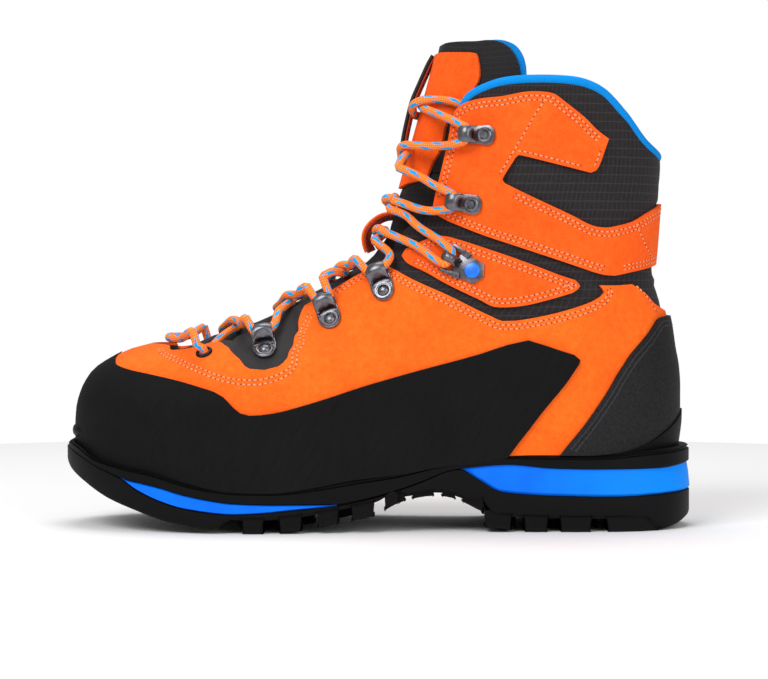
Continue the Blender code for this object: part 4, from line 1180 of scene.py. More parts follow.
    def lug(self, low: float, high: float, near: float, far: float, side: int) -> bmesh.types.BMesh:
        """One tread lug, wider where it meets the sole.

        Args:
            low: Toe end.
            high: Heel end.
            near: Share of the half width where it starts.
            far: Share where it ends.
            side: -1 for the outer side, 1 for the inner.

        Returns:
            The closed lug.
        """
        bm = bmesh.new()
        bmesh.ops.create_cube(bm, size=1.0)
        bmesh.ops.subdivide_edges(bm, edges=bm.edges[:], cuts=2, use_grid_fill=True)
        for vert in bm.verts:
            down = 0.5 - vert.co.z
            x = (low + high) / 2 + vert.co.x * (high - low) * (1.06 - 0.12 * down)
            middle = float(UPPER.middle(x))
            reach = float(self.edge(np.array(x), side)) - middle
            share = near + (far - near) * (vert.co.y + 0.5)
            share -= 0.012 * down * (1 if vert.co.y > 0 else -1)
            top = float(self.root(np.array(x))) + 1.2
            low_z = float(self.ground.at(x))
            vert.co = Vector((x, middle + reach * share, low_z + (top - low_z) * (1 - down)))
        bevel_all(bm, 0.7, 2, 40)
        return bm

    def outsole(self) -> None:
        """Rubber outsole with its lugs and climbing zone."""
        top = self.rubber_top.at
        bm = self.layer(self.TOE_X, self.HEEL_X, [(0.9, self.root), (0.3, lambda x: self.root(x) + 0.6),
                                                  (0.0, lambda x: np.minimum(self.root(x) + 1.8,
                                                                             top(x) - 0.6)),
                                                  (0.0, lambda x: top(x) - 0.4), (0.8, top)])
        edge_lugs = [(a, b, 0.55, 0.99) for a, b in self.FRONT_LUGS + self.HEEL_LUGS]
        teeth = [(a, b, 0.7, 0.985) for a, b in self.ARCH_TEETH]
        inner = [(a, b, 0.05, 0.46) for a, b in self.MIDDLE_LUGS + self.HEEL_MIDDLE_LUGS]
        for low, high, near, far in edge_lugs + teeth + inner:
            for side in (-1, 1):
                add_to(bm, self.lug(low, high, near, far, side))
        piece = self.shop.finish("outsole_lugged", bm, self.looks.sole, "black_rubber", ["outsole"], 32)
        self.shop.attach(piece, Body.FOOT)

    def midsole(self) -> None:
        """Blue forefoot insert and heel wedge, and the black frame over them."""
        shop, looks = self.shop, self.looks
        rubber, insert, wedge, welt = self.rubber_top.at, self.insert_top.at, self.wedge_top.at, self.welt.at
        bm = self.layer(-123, -20, [(1.2, rubber), (0.1, lambda x: rubber(x) + 0.6),
                                    (0.1, lambda x: np.maximum(insert(x) - 0.6, rubber(x) + 0.6)),
                                    (1.2, lambda x: np.maximum(insert(x), rubber(x) + 0.7))])
        shop.attach(shop.finish("forefoot_foam", bm, looks.foam, "blue_midsole", ["forefoot_insert"]),
                    Body.FOOT)
        bm = self.layer(39, self.HEEL_X, [(1.0, lambda x: np.minimum(rubber(x), wedge(x) - 0.4)),
                                          (-0.2, lambda x: np.minimum(rubber(x) + 1.2, wedge(x) - 0.3)),
                                          (0.5, lambda x: rubber(x) * 0.35 + wedge(x) * 0.65 - 0.2),
                                          (1.4, lambda x: wedge(x))])
        shop.attach(shop.finish("heel_foam_wedge", bm, looks.foam, "blue_midsole", ["heel_wedge"]), Body.FOOT)

        def base(x: np.ndarray) -> np.ndarray:
            under = rubber(x)
            under = np.where((x > -123) & (x < -20), np.maximum(under, insert(x)), under)
            return np.where(x > 38.4, np.maximum(under, wedge(x)), under)

        def between(share: float) -> Callable:
            return lambda x: base(x) + (np.maximum(welt(x), base(x) + 1.5) - base(x)) * share

        bm = self.layer(self.TOE_X + 1.5, self.HEEL_X, [(1.0, base), (0.2, between(0.08)),
                                                        (0.2, between(0.74)), (1.3, between(0.8)),
                                                        (1.3, between(0.87)), (0.7, between(0.93)),
                                                        (1.6, between(1.0))])
        piece = shop.finish("midsole_frame_moulded", bm, looks.frame, "black_rubber", ["midsole_frame"], 30)
        shop.attach(piece, Body.FOOT)

    def crampon_groove(self) -> None:
        """Lip and groove round the toe that hold a crampon's bail."""
        turns = np.linspace(-0.11, 0.11, 60)
        wall = UPPER.place(turns, np.full(60, 46.0), np.full(60, 3.4))
        out = UPPER.normal(turns, np.full(60, 44.0)) * [1, 1, 0]
        out /= np.linalg.norm(out, axis=1, keepdims=True)
        frames = np.stack([np.tile([0, 0, 1.0], (60, 1)), out], axis=1)
        section = np.array([(-3.0, -1.0), (-2.6, 1.4), (-1.4, 2.3), (0.4, 2.5), (2.0, 2.1), (3.0, 1.2),
                            (3.4, -1.0)])
        fade = 0.1 + 0.9 * ease(0, 0.06, 0.11 - np.abs(turns))
        bm = sweep(wall, frames, section, scale=fade)
        piece = self.shop.finish("toe_bail_groove", bm, self.looks.frame, "black_rubber", ["toe_welt"], 45)
        self.shop.attach(piece, Body.FOOT)

    def build(self) -> None:
        """Builds the sole from the ground up."""
        self.outsole()
        self.midsole()
        self.crampon_groove()


# --- Upper ------------------------------------------------------------------------------------------------

WELT_SEAM: Run = [(None, 39.5), (-143, 38.6), (-132, 33), (-118, 29.4), (-98, 24.8), (-79, 21.2), (-58, 20.2),
                  (-36, 21.8), (-12, 25.8), (10, 28.8), (31, 32.4), (61, 35.8), (104, 36.2), (127, 38.8),
                  (BACK, 40.2)]
COLLAR: Run = [(38, 199), (42, 206.5), (53, 212.5), (63, 214.6), (86, 214.8), (97, 213.4), (106, 209.5),
               (117, 199), (129, 185), (BACK, 179.5)]
THROAT: Run = [(None, 86.6), (-101, 86), (-99, 82.6), (-92, 79.6), (-78, 79.6), (-71, 86.5), (-60, 93),
               (-38, 105.5), (-21, 114), (-7, 122), (4, 130), (9, 141)]
CUFF_FRONT: Run = [(9, 141), (20, 150), (30, 158), (34, 168), (37, 180), (38, 190), (38, 199)]


def cloth_folds(turn: np.ndarray, z: np.ndarray) -> np.ndarray:
    """Lift of the softshell's face: shallow folds where the ankle bends."""
    side = np.abs(((turn + 1) % 2) - 1)
    zone = ease(104, 122, z) * (1 - ease(150, 172, z)) * ease(0.5, 0.62, side)
    wave = np.sin(z * 0.62 + side * 9.0) + 0.5 * np.sin(z * 1.13 - side * 21.0)
    small = 0.12 * np.sin(z * 0.31 + turn * 26) * np.sin(z * 0.17 - turn * 13)
    return 0.3 + 0.42 * zone * wave + small


class FootUpper(Maker):
    """The panels over the foot, from the softshell outwards."""

    VAMP_HALF: Sequence[Run] = (
        [(None, 86.6), (-101, 86), (-99, 84.2), (-88, 85.6), (-80, 88), (-75, 87.8)],
        [(-75, 87.8), (-71, 85.2), (-66, 81), (-61, 76.8), (-54, 76.4), (-47.6, 78), (-43.4, 81.6),
         (-41.4, 86), (-40, 91), (-38, 99), (-35, 106)],
        [(-35, 106), (-21, 114), (-7, 122), (3, 126.4)],
        [(3, 126.4), (11, 122.4), (32, 113), (52, 103.4), (59, 100.4), (65, 100.6), (79, 103), (94, 107),
         (103, 110.6), (107, 114), (104.6, 117.4)],
        [(104.6, 117.4), (112, 117.2), (120, 117.6)],
        [(120, 117.6), (127, 113), (132, 107.6), (BACK, 104)],
    )
    RAND_HALF: Sequence[Run] = (
        [(None, 40.4), (-145, 40), (-138, 34), (-124, 30.6), (-110, 28), (-94, 23.4), (-79, 20.6),
         (-63, 19.4), (-48, 19.4), (-33, 21.4), (-12, 25.4), (10, 27.8), (31, 31.6), (45, 32.4), (61, 35.4)],
        [(61, 35.4), (76, 55), (89, 71), (95, 80)],
        [(95, 80), (95.4, 82), (92.6, 84.4)],
        [(92.6, 84.4), (81, 88.2), (71, 91.2)],
        [(71, 91.2), (61, 88.9), (49, 85), (19, 77), (-9, 69), (-23, 64.4), (-37, 60.2), (-50, 57), (-61, 56),
         (-65, 57), (-69.6, 60.8), (-73, 64), (-77, 66), (-84, 67.8), (-94, 70.2), (-106, 72.4), (-119, 74.6),
         (-125.6, 76.6), (-127.4, 79.4), (None, 82.2)],
    )
    HEEL_EDGE: Run = [(BACK, 101.4), (133, 101), (131, 99), (125, 91), (115, 78), (106, 63), (86, 36.4)]
    HEEL_FOOT: Run = [(86, 36.4), (104, 36.4), (117, 38), (127, 41), (145, 41), (BACK, 41)]
    INSERT: Sequence[Run] = (
        [(12, 130.6), (14, 134), (18, 136.2), (27, 140.4), (31, 140.8), (37, 139.6), (63, 131), (87, 122),
         (93, 120)],
        [(93, 120), (95.4, 117), (92, 114)],
        [(92, 114), (82, 111), (70, 108), (61, 107), (55, 107.2), (47, 111), (25, 122), (14, 127.6),
         (12, 130.6)],
    )

    def softshell(self) -> None:
        """One continuous softshell from the welt to the collar."""
        low = half_line([WELT_SEAM])
        high = half_line([THROAT, CUFF_FRONT, COLLAR])
        panel = Panel("softshell_upper", all_round(low, high), -2.6, cloth_folds, 0.010, 2.6, 0.0)
        piece = panel.build(self.shop, self.looks.ripstop, "black_softshell",
                            ["foot_shell", "ankle_gusset", "cuff_shell"])
        self.shop.attach(piece, None)

    def quarters(self) -> None:
        """Orange suede vamp and quarters with their seams."""
        shop, looks = self.shop, self.looks
        low_line = half_line([[(x, z + 0.4) for x, z in WELT_SEAM]])
        outline = all_round(low_line, half_line(self.VAMP_HALF))
        panel = Panel("vamp_and_quarters_suede", outline, 0.6, 2.2)
        # The lighter suede on the vamp and quarters is painted light.
        shop.attach(panel.build(shop, looks.suede_painted_lit, "orange_suede", ["vamp_and_quarters"]), Body.FOOT)
        lines = []
        for run in self.VAMP_HALF[2:4]:
            lines += rows(half_line([run]), (2.0, 4.0), 2.5)
        toe = half_line([[(-104, 85.5), (-94.6, 80.2), (-83.2, 76.2), (-69.4, 72.4), (-57, 72), (-47.4, 74.6),
                          (-41.2, 79), (-38.4, 87.6), (-36, 96.3), (-32.6, 104)]])
        lines += rows(toe, (0.0, 2.1), 1.0)
        low_back = half_line([[(122, 117), (128, 111), (133, 103)]])
        lines += both_sides(low_back)
        Seam("quarter", lines, 2.2).build(shop, looks.thread, looks.hole_shade, "orange_suede", Body.FOOT)
        window = half_line([[(-75, 90), (-74, 84), (-63, 74.4), (-54, 74), (-44, 76.6), (-39.6, 83),
                             (-37, 91), (-34, 100), (-31, 110), (-44, 104.4), (-60, 95), (-71, 89)]])
        for side, word in ((Wrap.OUTER, "outer"), (Wrap.INNER, "inner")):
            cloth = Panel(f"window_cloth_{word}", closed(window[:-1], side), -0.4, 1.0, rim=0.0)
            shop.attach(cloth.build(shop, looks.webbing, "black_softshell"), Body.FOOT)

    def rubber(self) -> None:
        """Rand round the forefoot, heel cover and heel strip."""
        shop, looks = self.shop, self.looks

        def face(turn: np.ndarray, z: np.ndarray) -> np.ndarray:
            toe = 1 - ease(0.12, 0.3, np.abs(turn))
            return 3.9 + toe * (0.8 * (1 - ease(62, 78, z)) - 1.3 * ease(72, 81, z))

        rand = Panel("rubber_rand", closed(half_line(self.RAND_HALF), Wrap.FRONT), 2.4, face, rim=0.5)
        shop.attach(rand.build(shop, looks.rand, "black_rubber", ["rand"]), Body.FOOT)
        cover_line = half_line([self.HEEL_EDGE, self.HEEL_FOOT])
        cover = Panel("heel_cover_leather", closed(cover_line[::-1], Wrap.BACKWARD), 2.4, 4.1, rim=0.45)
        shop.attach(cover.build(shop, looks.leather, "black_leather", ["heel_cover"]), Body.FOOT)
        lines = rows(half_line([self.HEEL_EDGE]), (-2.2, -4.4), 4.0)
        # Its needle holes take the dark metal finish, as painted shade.
        Seam("heel_cover", lines, 4.1).build(shop, looks.thread_black, looks.dark_metal, "black_leather",
                                             Body.FOOT)
        strip = half_line([[(BACK, 57), (142, 54), (135, 47.4), (125, 41), (110, 36.4)],
                           [(110, 36.4), (127, 38.2), (BACK, 39.6)]])
        heel = Panel("heel_strip_rubber", closed(strip[::-1], Wrap.BACKWARD), 3.6, 4.9, rim=0.5)
        shop.attach(heel.build(shop, looks.frame, "black_rubber", ["heel_strip"]), Body.FOOT)

    def inserts(self) -> None:
        """Ankle inserts between the quarter and the strap."""
        shop, looks = self.shop, self.looks
        line = half_line(self.INSERT)
        for side, word in ((Wrap.OUTER, "outer"), (Wrap.INNER, "inner")):
            panel = Panel(f"ankle_insert_suede_{word}", closed(line[:-1], side), 0.6, 2.3)
            shop.attach(panel.build(shop, looks.suede, "orange_suede", [f"ankle_insert_{word}"]), Body.FOOT)
        seam = Seam("ankle_insert", rows(line, (2.0, 4.0), 3.0), 2.3)
        seam.build(shop, looks.thread, looks.hole_shade, "orange_suede", Body.FOOT)

    def build(self) -> None:
        """Builds the foot's panels."""
        self.softshell()
        self.quarters()
        self.rubber()
        self.inserts()


class Cuff(Maker):
    """Everything round the ankle above the flex line."""

    STRAP: Sequence[Run] = (
        [(BACK, 157), (134, 155.4), (128, 152), (121, 148), (114, 146), (108, 145), (101, 146), (91, 151),
         (72, 160), (60, 166)],
        [(60, 166), (59, 167.4), (65, 178)],
        [(65, 178), (66.4, 179.2), (68, 179), (84, 175), (96, 172), (100, 171)],
        [(100, 171), (102.4, 172), (107, 183), (108.4, 187)],
        [(108.4, 187), (103, 191), (97, 197), (87, 205), (83, 208), (78, 209), (70, 209), (59, 207),
         (49, 206), (42, 204), (38, 201), (36, 196), (35, 190), (32, 176), (29, 164), (27, 155)],
        [(27, 155), (27.4, 152.4), (32, 149), (41, 145), (51, 141), (63, 137), (84, 130), (107, 122.4),
         (112, 122)],
        [(112, 122), (121, 124), (131, 126.6), (BACK, 128)],
    )

    def strap(self) -> None:
        """Suede strap round the ankle, with its seams."""
        shop, looks = self.shop, self.looks
        line = half_line(self.STRAP)
        panel = Panel("ankle_strap_suede", closed(line, Wrap.BACKWARD), 0.6, 2.4)
        shop.attach(panel.build(shop, looks.suede, "orange_suede", ["ankle_strap"]), Body.CUFF)
        lines = []
        for run in (self.STRAP[0], self.STRAP[4], self.STRAP[5], self.STRAP[6]):
            lines += rows(half_line([run]), (-2.0, -4.0), 3.0)
        flag = half_line([[(79, 206), (74, 198), (66, 184), (57, 169)]])
        lines += both_sides(flag)
        rear = half_line([[(121.6, 147), (125, 140), (128, 134), (132, 128.6)]])
        lines += both_sides(rear)
        for run in self.STRAP[2:4]:
            lines += rows(half_line([run]), (-2.0,), 2.0)
        Seam("ankle_strap", lines, 2.4).build(shop, looks.thread, looks.hole_shade, "orange_suede", Body.CUFF)

    def collar(self) -> None:
        """Rolled collar edge and the padded lining under it."""
        shop, looks = self.shop, self.looks
        half = half_line([[(37, 190), (38, 196), *COLLAR[1:]]])
        path = np.vstack([half * [-1, 1] + [2, 0], half[::-1][1:]])
        normals = UPPER.normal(path[:, 0], path[:, 1])
        points = UPPER.place(path[:, 0], path[:, 1], np.full(len(path), -1.0))
        bm = sweep(points, frames_along(points, (0, 0, 1), normals), circle(2.3, 16) * [1.0, 0.9])
        piece = shop.finish("collar_piping", bm, looks.binding, "blue_lining", ["collar_binding"])
        shop.attach(piece, Body.CUFF)
        low: Run = [(BACK, 132), (112, 127), (100, 128), (84, 134.5), (63, 142), (44, 150)]
        front: Run = [(44, 150), (43, 170), (41, 185), (42, 201)]
        top: Run = [(42, 201), (53, 211), (63, 213), (86, 213), (97, 211.6), (106, 207.6), (117, 197),
                    (129, 183), (BACK, 177.5)]

        def pad(turn: np.ndarray, z: np.ndarray) -> np.ndarray:
            return -7.4 - 1.0 * np.sin((z - 132) * 0.09) ** 2

        panel = Panel("collar_lining_pad", closed(half_line([low, front, top]), Wrap.BACKWARD), pad, -2.7,
                      rim=0.9)
        piece = panel.build(shop, looks.lining, "blue_lining", ["cuff_foam"])
        shop.attach(piece, Body.CUFF)

    def build(self) -> None:
        """Builds the cuff."""
        self.strap()
        self.collar()


def instep_dip(turn: np.ndarray, z: np.ndarray) -> np.ndarray:
    """How far the tongue lies below the upper's surface over the instep."""
    return -4.6 * np.maximum(1 - ease(88.8, 93, z), ease(0.035, 0.11, np.abs(turn)))


def shaft_dip(turn: np.ndarray, z: np.ndarray) -> np.ndarray:
    """How far the tongue lies below the upper's surface in the shaft."""
    return -9.6 * ease(0.08, 0.23, np.abs(turn))


class Tongue(Maker):
    """The bellows tongue, its patch and the webbing that stands off it."""

    PATCH: Sequence[Run] = (
        [(None, 164), (12.6, 165), (20, 169)],
        [(20, 169), (23, 178), (25, 182), (27, 189), (28.6, 196), (34, 205), (43, 216), (43.4, 222),
         (42, 228)],
        [(42, 228), (41, 230), (39, 230.4), (None, 229)],
    )

    @staticmethod
    def ripple(turn: np.ndarray, z: np.ndarray) -> np.ndarray:
        """Small folds across the tongue, deeper between the laces."""
        return 0.28 * np.sin(z * 0.52 + 3 * np.abs(turn) * 7) * (1 - ease(0.10, 0.2, np.abs(turn)))

    def lower(self) -> None:
        """The part under the laces."""
        line = half_line([[(None, 86), (-88, 84), (-60, 89), (-38, 100), (-14, 112), (8, 124), (18, 136),
                           (30, 156), (40, 170), (46, 178)], [(46, 178), (30, 180), (None, 180)]])

        def dip(turn: np.ndarray, z: np.ndarray) -> np.ndarray:
            blend = ease(132, 158, z)
            sunk = instep_dip(turn, z) * (1 - blend) + shaft_dip(turn, z) * blend
            return sunk - 1.6 * ease(166, 174, z)

        def face(turn: np.ndarray, z: np.ndarray) -> np.ndarray:
            return dip(turn, z) - 0.1 + self.ripple(turn, z)

        panel = Panel("tongue_lower_softshell", closed(line, Wrap.FRONT), lambda t, z: dip(t, z) - 3.2,
                      face, rim=0.0)
        piece = panel.build(self.shop, self.looks.plain_cloth, "black_softshell",
                            ["tongue_instep", "tongue_shaft"])
        self.shop.attach(piece, None)

    def upper(self) -> None:
        """The part that stands out of the collar, with its lining and suede patch."""
        shop, looks = self.shop, self.looks
        line = half_line([[(None, 173), (18, 173), (40, 175), (50, 182)], [(50, 182), (56, 196), (60, 206),
                          (64.6, 215), (63, 225), (59, 231), (54, 234.4), (48, 236), (38, 236),
                                                                           (None, 233.6)]])

        def face(turn: np.ndarray, z: np.ndarray) -> np.ndarray:
            return shaft_dip(turn, z) - 0.1 + self.ripple(turn, z)

        panel = Panel("tongue_top_softshell", closed(line, Wrap.FRONT), lambda t, z: shaft_dip(t, z) - 4.4,
                      face, rim=1.2)
        piece = panel.build(shop, looks.plain_cloth, "black_softshell", ["tongue_top"])
        shop.fold_tongue(piece)
        rim = half_line([[(None, 196), (40, 197), (54, 200)], [(54, 200), (62, 208), (67, 216), (66, 225.6),
                         (61.6, 232), (56, 235.2), (49, 236.6), (38, 236.4), (None, 234)]])
        lining = Panel("tongue_lining", closed(rim, Wrap.FRONT), lambda t, z: shaft_dip(t, z) - 6.4,
                       lambda t, z: shaft_dip(t, z) - 3.6, rim=0.9)
        piece = lining.build(shop, looks.binding, "blue_lining")
        shop.fold_tongue(piece)
        patch = Panel("tongue_patch_suede", closed(half_line(self.PATCH), Wrap.FRONT),
                      lambda t, z: shaft_dip(t, z) + 0.2, lambda t, z: shaft_dip(t, z) + 1.7)
        piece = patch.build(shop, looks.suede, "orange_suede", ["tongue_patch_low", "tongue_patch_top"])
        shop.fold_tongue(piece)

    def strip(self, name: str, route: Sequence[tuple[float, float]], middle: float, width: float,
              thick: float, material: bpy.types.Material, slot: str, replaces: Sequence[str],
              lean: float = 0.3) -> bpy.types.Object:
        """A strip of webbing or leather that stands off the front ridge along a route of (x, height)."""
        knots = np.array(route, float)
        at = lengths_along(knots)
        fine = np.arange(0, at[-1], 1.2)
        x = np.interp(fine, at, knots[:, 0])
        z = np.interp(fine, at, knots[:, 1])
        for _ in range(6):
            x[1:-1] = (x[:-2] + 2 * x[1:-1] + x[2:]) / 4
            z[1:-1] = (z[:-2] + 2 * z[1:-1] + z[2:]) / 4
        points = np.stack([x, np.full(len(x), middle), z], axis=1)
        along = np.gradient(points, axis=0)
        outs = np.stack([-np.abs(along[:, 2]), np.full(len(x), lean), np.abs(along[:, 0])], axis=1)
        frames = frames_along(points, (-1, lean, 0.4), outs)
        bm = sweep(points, frames, rounded_bar(width, thick))
        return self.shop.finish(name, bm, material, slot, replaces, 50)

    def webbing(self) -> None:
        """The pull strap and the lace keeper."""
        shop, looks = self.shop, self.looks
        pull = [(27.2, 228.6), (25, 225), (21, 216), (17, 207), (15, 199), (13, 190), (12, 183), (12.4, 176),
                (12.8, 172.6)]
        outer = self.strip("pull_strap_webbing", pull, 3.4, 13.0, 1.5, looks.webbing, "black_webbing",
                           ["pull_strap"], 0.12)
        shop.fold_tongue(outer)
        inner = [(x + 1.2, z) for x, z in pull]
        facing = self.strip("pull_strap_facing", inner, 3.4, 11.6, 0.9, looks.webbing_red, "orange_suede", [],
                            0.12)
        shop.fold_tongue(facing)
        keeper = [(8, 150.6), (2, 150.4), (-3, 147), (-6, 143), (-6.4, 139), (-4, 134)]
        loop = self.strip("lace_keeper_leather", keeper, 0.6, 11.0, 1.4, looks.suede, "orange_suede",
                          ["lace_keeper"])
        shop.attach(loop, Body.FOOT)
        back_face = [(x + 0.9, z - 0.5) for x, z in keeper]
        loop = self.strip("lace_keeper_flesh_side", back_face, 0.6, 10.6, 0.9, looks.webbing_red,
                          "orange_suede", [])
        shop.attach(loop, Body.FOOT)

    def build(self) -> None:
        """Builds the tongue."""
        self.lower()
        self.upper()
        self.webbing()


# --- Lacing -----------------------------------------------------------------------------------------------


class Fittings(Maker):
    """Lace guides, hooks and eyelets, each a stamped and folded sheet with its rivet."""

    SHEET = 1.2
    LOOP_INNER, LOOP_RISE = 2.9, 4.1
    SEAT_GAP = 0.4
    EYELET = (-83.2, 83.6)
    GUIDES = (("guide_toe", (-54, 85.4), (-56, 95.4), 1.4),
              ("guide_middle", (-22.6, 99.6), (-26.4, 111.6), 2.4), ("guide_ankle", (3, 114), (0, 126), 2.2))
    HOOKS = (("lock_hook", (45, 124), (30, 132), 2.2, 12.0, 5.0),
             ("hook_low", (45, 156), (34, 158), 2.4, 8.0, 4.4),
             ("hook_high", (51.4, 188.6), (41.4, 188.8), 2.4, 8.0, 4.4))
    DOME = ((0.0, 1.5), (0.9, 1.42), (1.8, 1.15), (2.5, 0.7), (2.9, 0.1), (3.05, -0.3), (3.35, -0.3),
            (3.5, 0.15), (4.1, 0.2), (4.5, -0.4))
    RING = ((0.0, 0.1), (1.6, 0.1), (1.9, 0.5), (2.4, 1.0), (3.0, 1.05), (3.6, 0.6), (3.8, -0.3))
    BUTTON = ((0.0, 1.5), (3.0, 1.5), (3.5, 1.3), (3.75, 0.9), (3.75, -0.3))
    EYELET_RING = ((2.5, -0.6), (2.6, 0.5), (3.0, 0.95), (3.5, 0.9), (4.0, 0.5), (4.15, 0.0), (4.0, -0.6),
                   (2.5, -0.6))
    EYELET_AIM, EYELET_HEIGHT = 6, 2.2
    LOCK_PLATE = ((-6.2, 0), (-3.6, -5.4), (3.4, -5.8), (8.6, -4.6), (9.6, 0), (8.6, 4.6), (3.4, 5.8),
                  (-3.6, 5.4))
    HOOK_PLATE = ((-5.2, 0), (-4.4, -3.2), (-2.0, -4.8), (4.0, -4.2), (8.0, -2.9), (8.0, 2.9), (4.0, 4.2),
                  (-2.0, 4.8), (-4.4, 3.2))
    JAW = ((5.0, 4.2), (13.6, 5.4), (13.8, 7.4), (3.6, 6.6))
    JAW_THICK, GUIDE_SHEET, RIVET_HEIGHT = 2.6, 0.9, 1.3
    RIM_RADIUS, RIM_SIDES = 0.42, 48

    @staticmethod
    def seat(place: Spot, towards: Spot, side: int, height: float) -> Matrix:
        """Frame of a fitting on the upper: X points towards a second place, Z stands off the surface."""
        turn, aim = side * UPPER.turn_at(*place), side * UPPER.turn_at(*towards)
        turns, heights = np.array([turn, aim]), np.array([place[1], towards[1]])
        here, there = UPPER.place(turns, heights, np.full(2, float(height)))
        origin = Vector(here)
        normal = Vector(UPPER.normal(turns[:1], heights[:1])[0]).normalized()
        ahead = Vector(there) - origin
        ahead = (ahead - normal * ahead.dot(normal)).normalized()
        frame_rows = Matrix((ahead, normal.cross(ahead), normal)).transposed().to_4x4()
        return Matrix.Translation(origin) @ frame_rows

    @classmethod
    def eyelet_seat(cls, side: int, height: float) -> Matrix:
        """Frame of a toe eyelet, with X up the boot."""
        return cls.seat(cls.EYELET, (cls.EYELET[0], cls.EYELET[1] + cls.EYELET_AIM), side, height)

    def plate(self, shape: Sequence[tuple[float, float]], thick: float) -> bmesh.types.BMesh:
        """A flat stamped plate with rounded edges."""
        bm = bmesh.new()
        face = bm.faces.new([bm.verts.new((x, y, 0)) for x, y in shape])
        made = bmesh.ops.extrude_face_region(bm, geom=[face], use_keep_orig=True)["geom"]
        top = [v for v in made if isinstance(v, bmesh.types.BMVert)]
        bmesh.ops.translate(bm, vec=(0, 0, thick), verts=top)
        bevel_all(bm, 0.3, 2, 50)
        return bm

    @staticmethod
    def egg(low: float, high: float, half: float, tip: float = 0.85,
            sides: int = 36) -> list[tuple[float, float]]:
        """Outline of an egg from low to high along X, narrower at its high end."""
        middle, reach = (low + high) / 2, (high - low) / 2
        angles = [math.tau * n / sides for n in range(sides)]
        return [(middle + reach * math.cos(a),
                 half * math.sin(a) * (1 - (1 - tip) * math.cos(a))) for a in angles]

    def hood(self, reach: float, fold: float, width: float, back: float) -> bmesh.types.BMesh:
        """The folded part of the sheet, from a place behind the lace, round it and back."""
        steps = 26
        arc = [math.radians(-90 + fold * n / steps) for n in range(steps + 1)]
        outer, inner = self.LOOP_INNER + self.SHEET, self.LOOP_INNER
        line = [(back, 0.0)] + [(reach + outer * math.cos(a),
                                 self.LOOP_RISE + outer * math.sin(a)) for a in arc]
        line += [(reach + inner * math.cos(a), self.LOOP_RISE + inner * math.sin(a)) for a in reversed(arc)]
        line += [(back, self.SHEET)]
        section = np.array([(x - reach, z - self.LOOP_RISE) for x, z in line])
        stations = np.linspace(-width / 2, width / 2, 9)
        points = np.stack([np.full(9, reach), stations, np.full(9, self.LOOP_RISE)], axis=1)
        frames = np.tile(np.array([[1.0, 0, 0], [0, 0, 1.0]]), (9, 1, 1))
        bm = sweep(points, frames, section)
        for vert in bm.verts:
            over = float(ease(-self.LOOP_INNER, self.LOOP_INNER, vert.co.z - self.LOOP_RISE))
            is_lip = vert.co.z > self.LOOP_RISE - 2.4
            curl = over * (1 - float(ease(reach - 4.2, reach - 1.5, vert.co.x))) if is_lip else 0.0
            share = (vert.co.y / (width / 2)) ** 2
            vert.co.x -= curl * (3.4 * share - 1.0)
            vert.co.z -= 1.2 * over * share + 1.9 * curl * share
            vert.co.y *= 1 - 0.1 * over
        bevel_all(bm, 0.34, 3, 50)
        return bm

    def piece(self, name: str, bm: bmesh.types.BMesh, at: Matrix, look: bpy.types.Material, slot: str,
              body: Body, replaces: Sequence[str]) -> None:
        """Places a fitting's part and finishes it."""
        bmesh.ops.recalc_face_normals(bm, faces=bm.faces)
        bmesh.ops.transform(bm, matrix=at, verts=bm.verts)
        self.shop.attach(self.shop.finish(name, bm, look, slot, replaces, 35, recalc=False), body)

    def guides(self, side: int, word: str) -> None:
        """The three closed guides of one side."""
        for name, place, towards, under in self.GUIDES:
            at = self.seat(place, towards, side, under + self.SEAT_GAP)
            bm = bmesh.new()
            add_to(bm, self.plate(self.egg(-5.7, 12.4, 5.7), self.GUIDE_SHEET))
            add_to(bm, self.hood(9.0, 282, 11.0, 3.0))
            rim = np.array(self.egg(-5.2, 11.8, 5.2, sides=self.RIM_SIDES))
            path = np.column_stack([rim, np.full(self.RIM_SIDES, 0.95)])
            path = np.vstack([path, path[:1]])
            add_to(bm, sweep(path, frames_along(path, (0, 0, 1)), circle(self.RIM_RADIUS, 8)))
            self.piece(f"{name}_plate_{word}", bm, at, self.looks.metal, "gunmetal", Body.FOOT,
                       [f"{name}_{word}"])
            dome = Matrix.Translation((-0.4, 0, self.RIVET_HEIGHT))
            self.piece(f"{name}_rivet_head_{word}", spun(self.DOME), at @ dome, self.looks.metal, "gunmetal",
                       Body.FOOT, [f"{name}_rivet_{word}"])

    def hooks(self, side: int, word: str) -> None:
        """The lock hook and the two speed hooks of one side."""
        looks = self.looks
        for name, place, towards, under, reach, width in self.HOOKS:
            at = self.seat(place, towards, side, under + self.SEAT_GAP)
            is_lock = name == "lock_hook"
            body = Body.FOOT if is_lock else Body.CUFF
            bm = bmesh.new()
            add_to(bm, self.plate(self.LOCK_PLATE if is_lock else self.HOOK_PLATE, self.SHEET))
            if is_lock:
                add_to(bm, self.hood(reach, 236, width, 6.0))
                add_to(bm, self.plate(self.JAW, self.JAW_THICK))
                add_to(bm, self.plate([(x, -y) for x, y in self.JAW][::-1], self.JAW_THICK))
            else:
                add_to(bm, self.hood(reach, 248, 8.8, 5.0))
            self.piece(f"{name}_plate_{word}", bm, at, looks.metal, "gunmetal", body, [f"{name}_{word}"])
            head = spun(self.BUTTON if is_lock else self.RING)
            self.piece(f"{name}_rivet_head_{word}", head, at @ Matrix.Translation((0, 0, self.RIVET_HEIGHT)),
                       looks.enamel if is_lock else looks.metal,
                       "hook_rivet_blue" if is_lock else "gunmetal", body, [f"{name}_rivet_{word}"])

    def eyelets(self, side: int, word: str) -> None:
        """The toe eyelet of one side."""
        at = self.eyelet_seat(side, self.EYELET_HEIGHT)
        self.piece(f"toe_eyelet_ring_{word}", spun(self.EYELET_RING), at, self.looks.dark_metal, "gunmetal",
                   Body.FOOT, [f"toe_eyelet_{word}"])

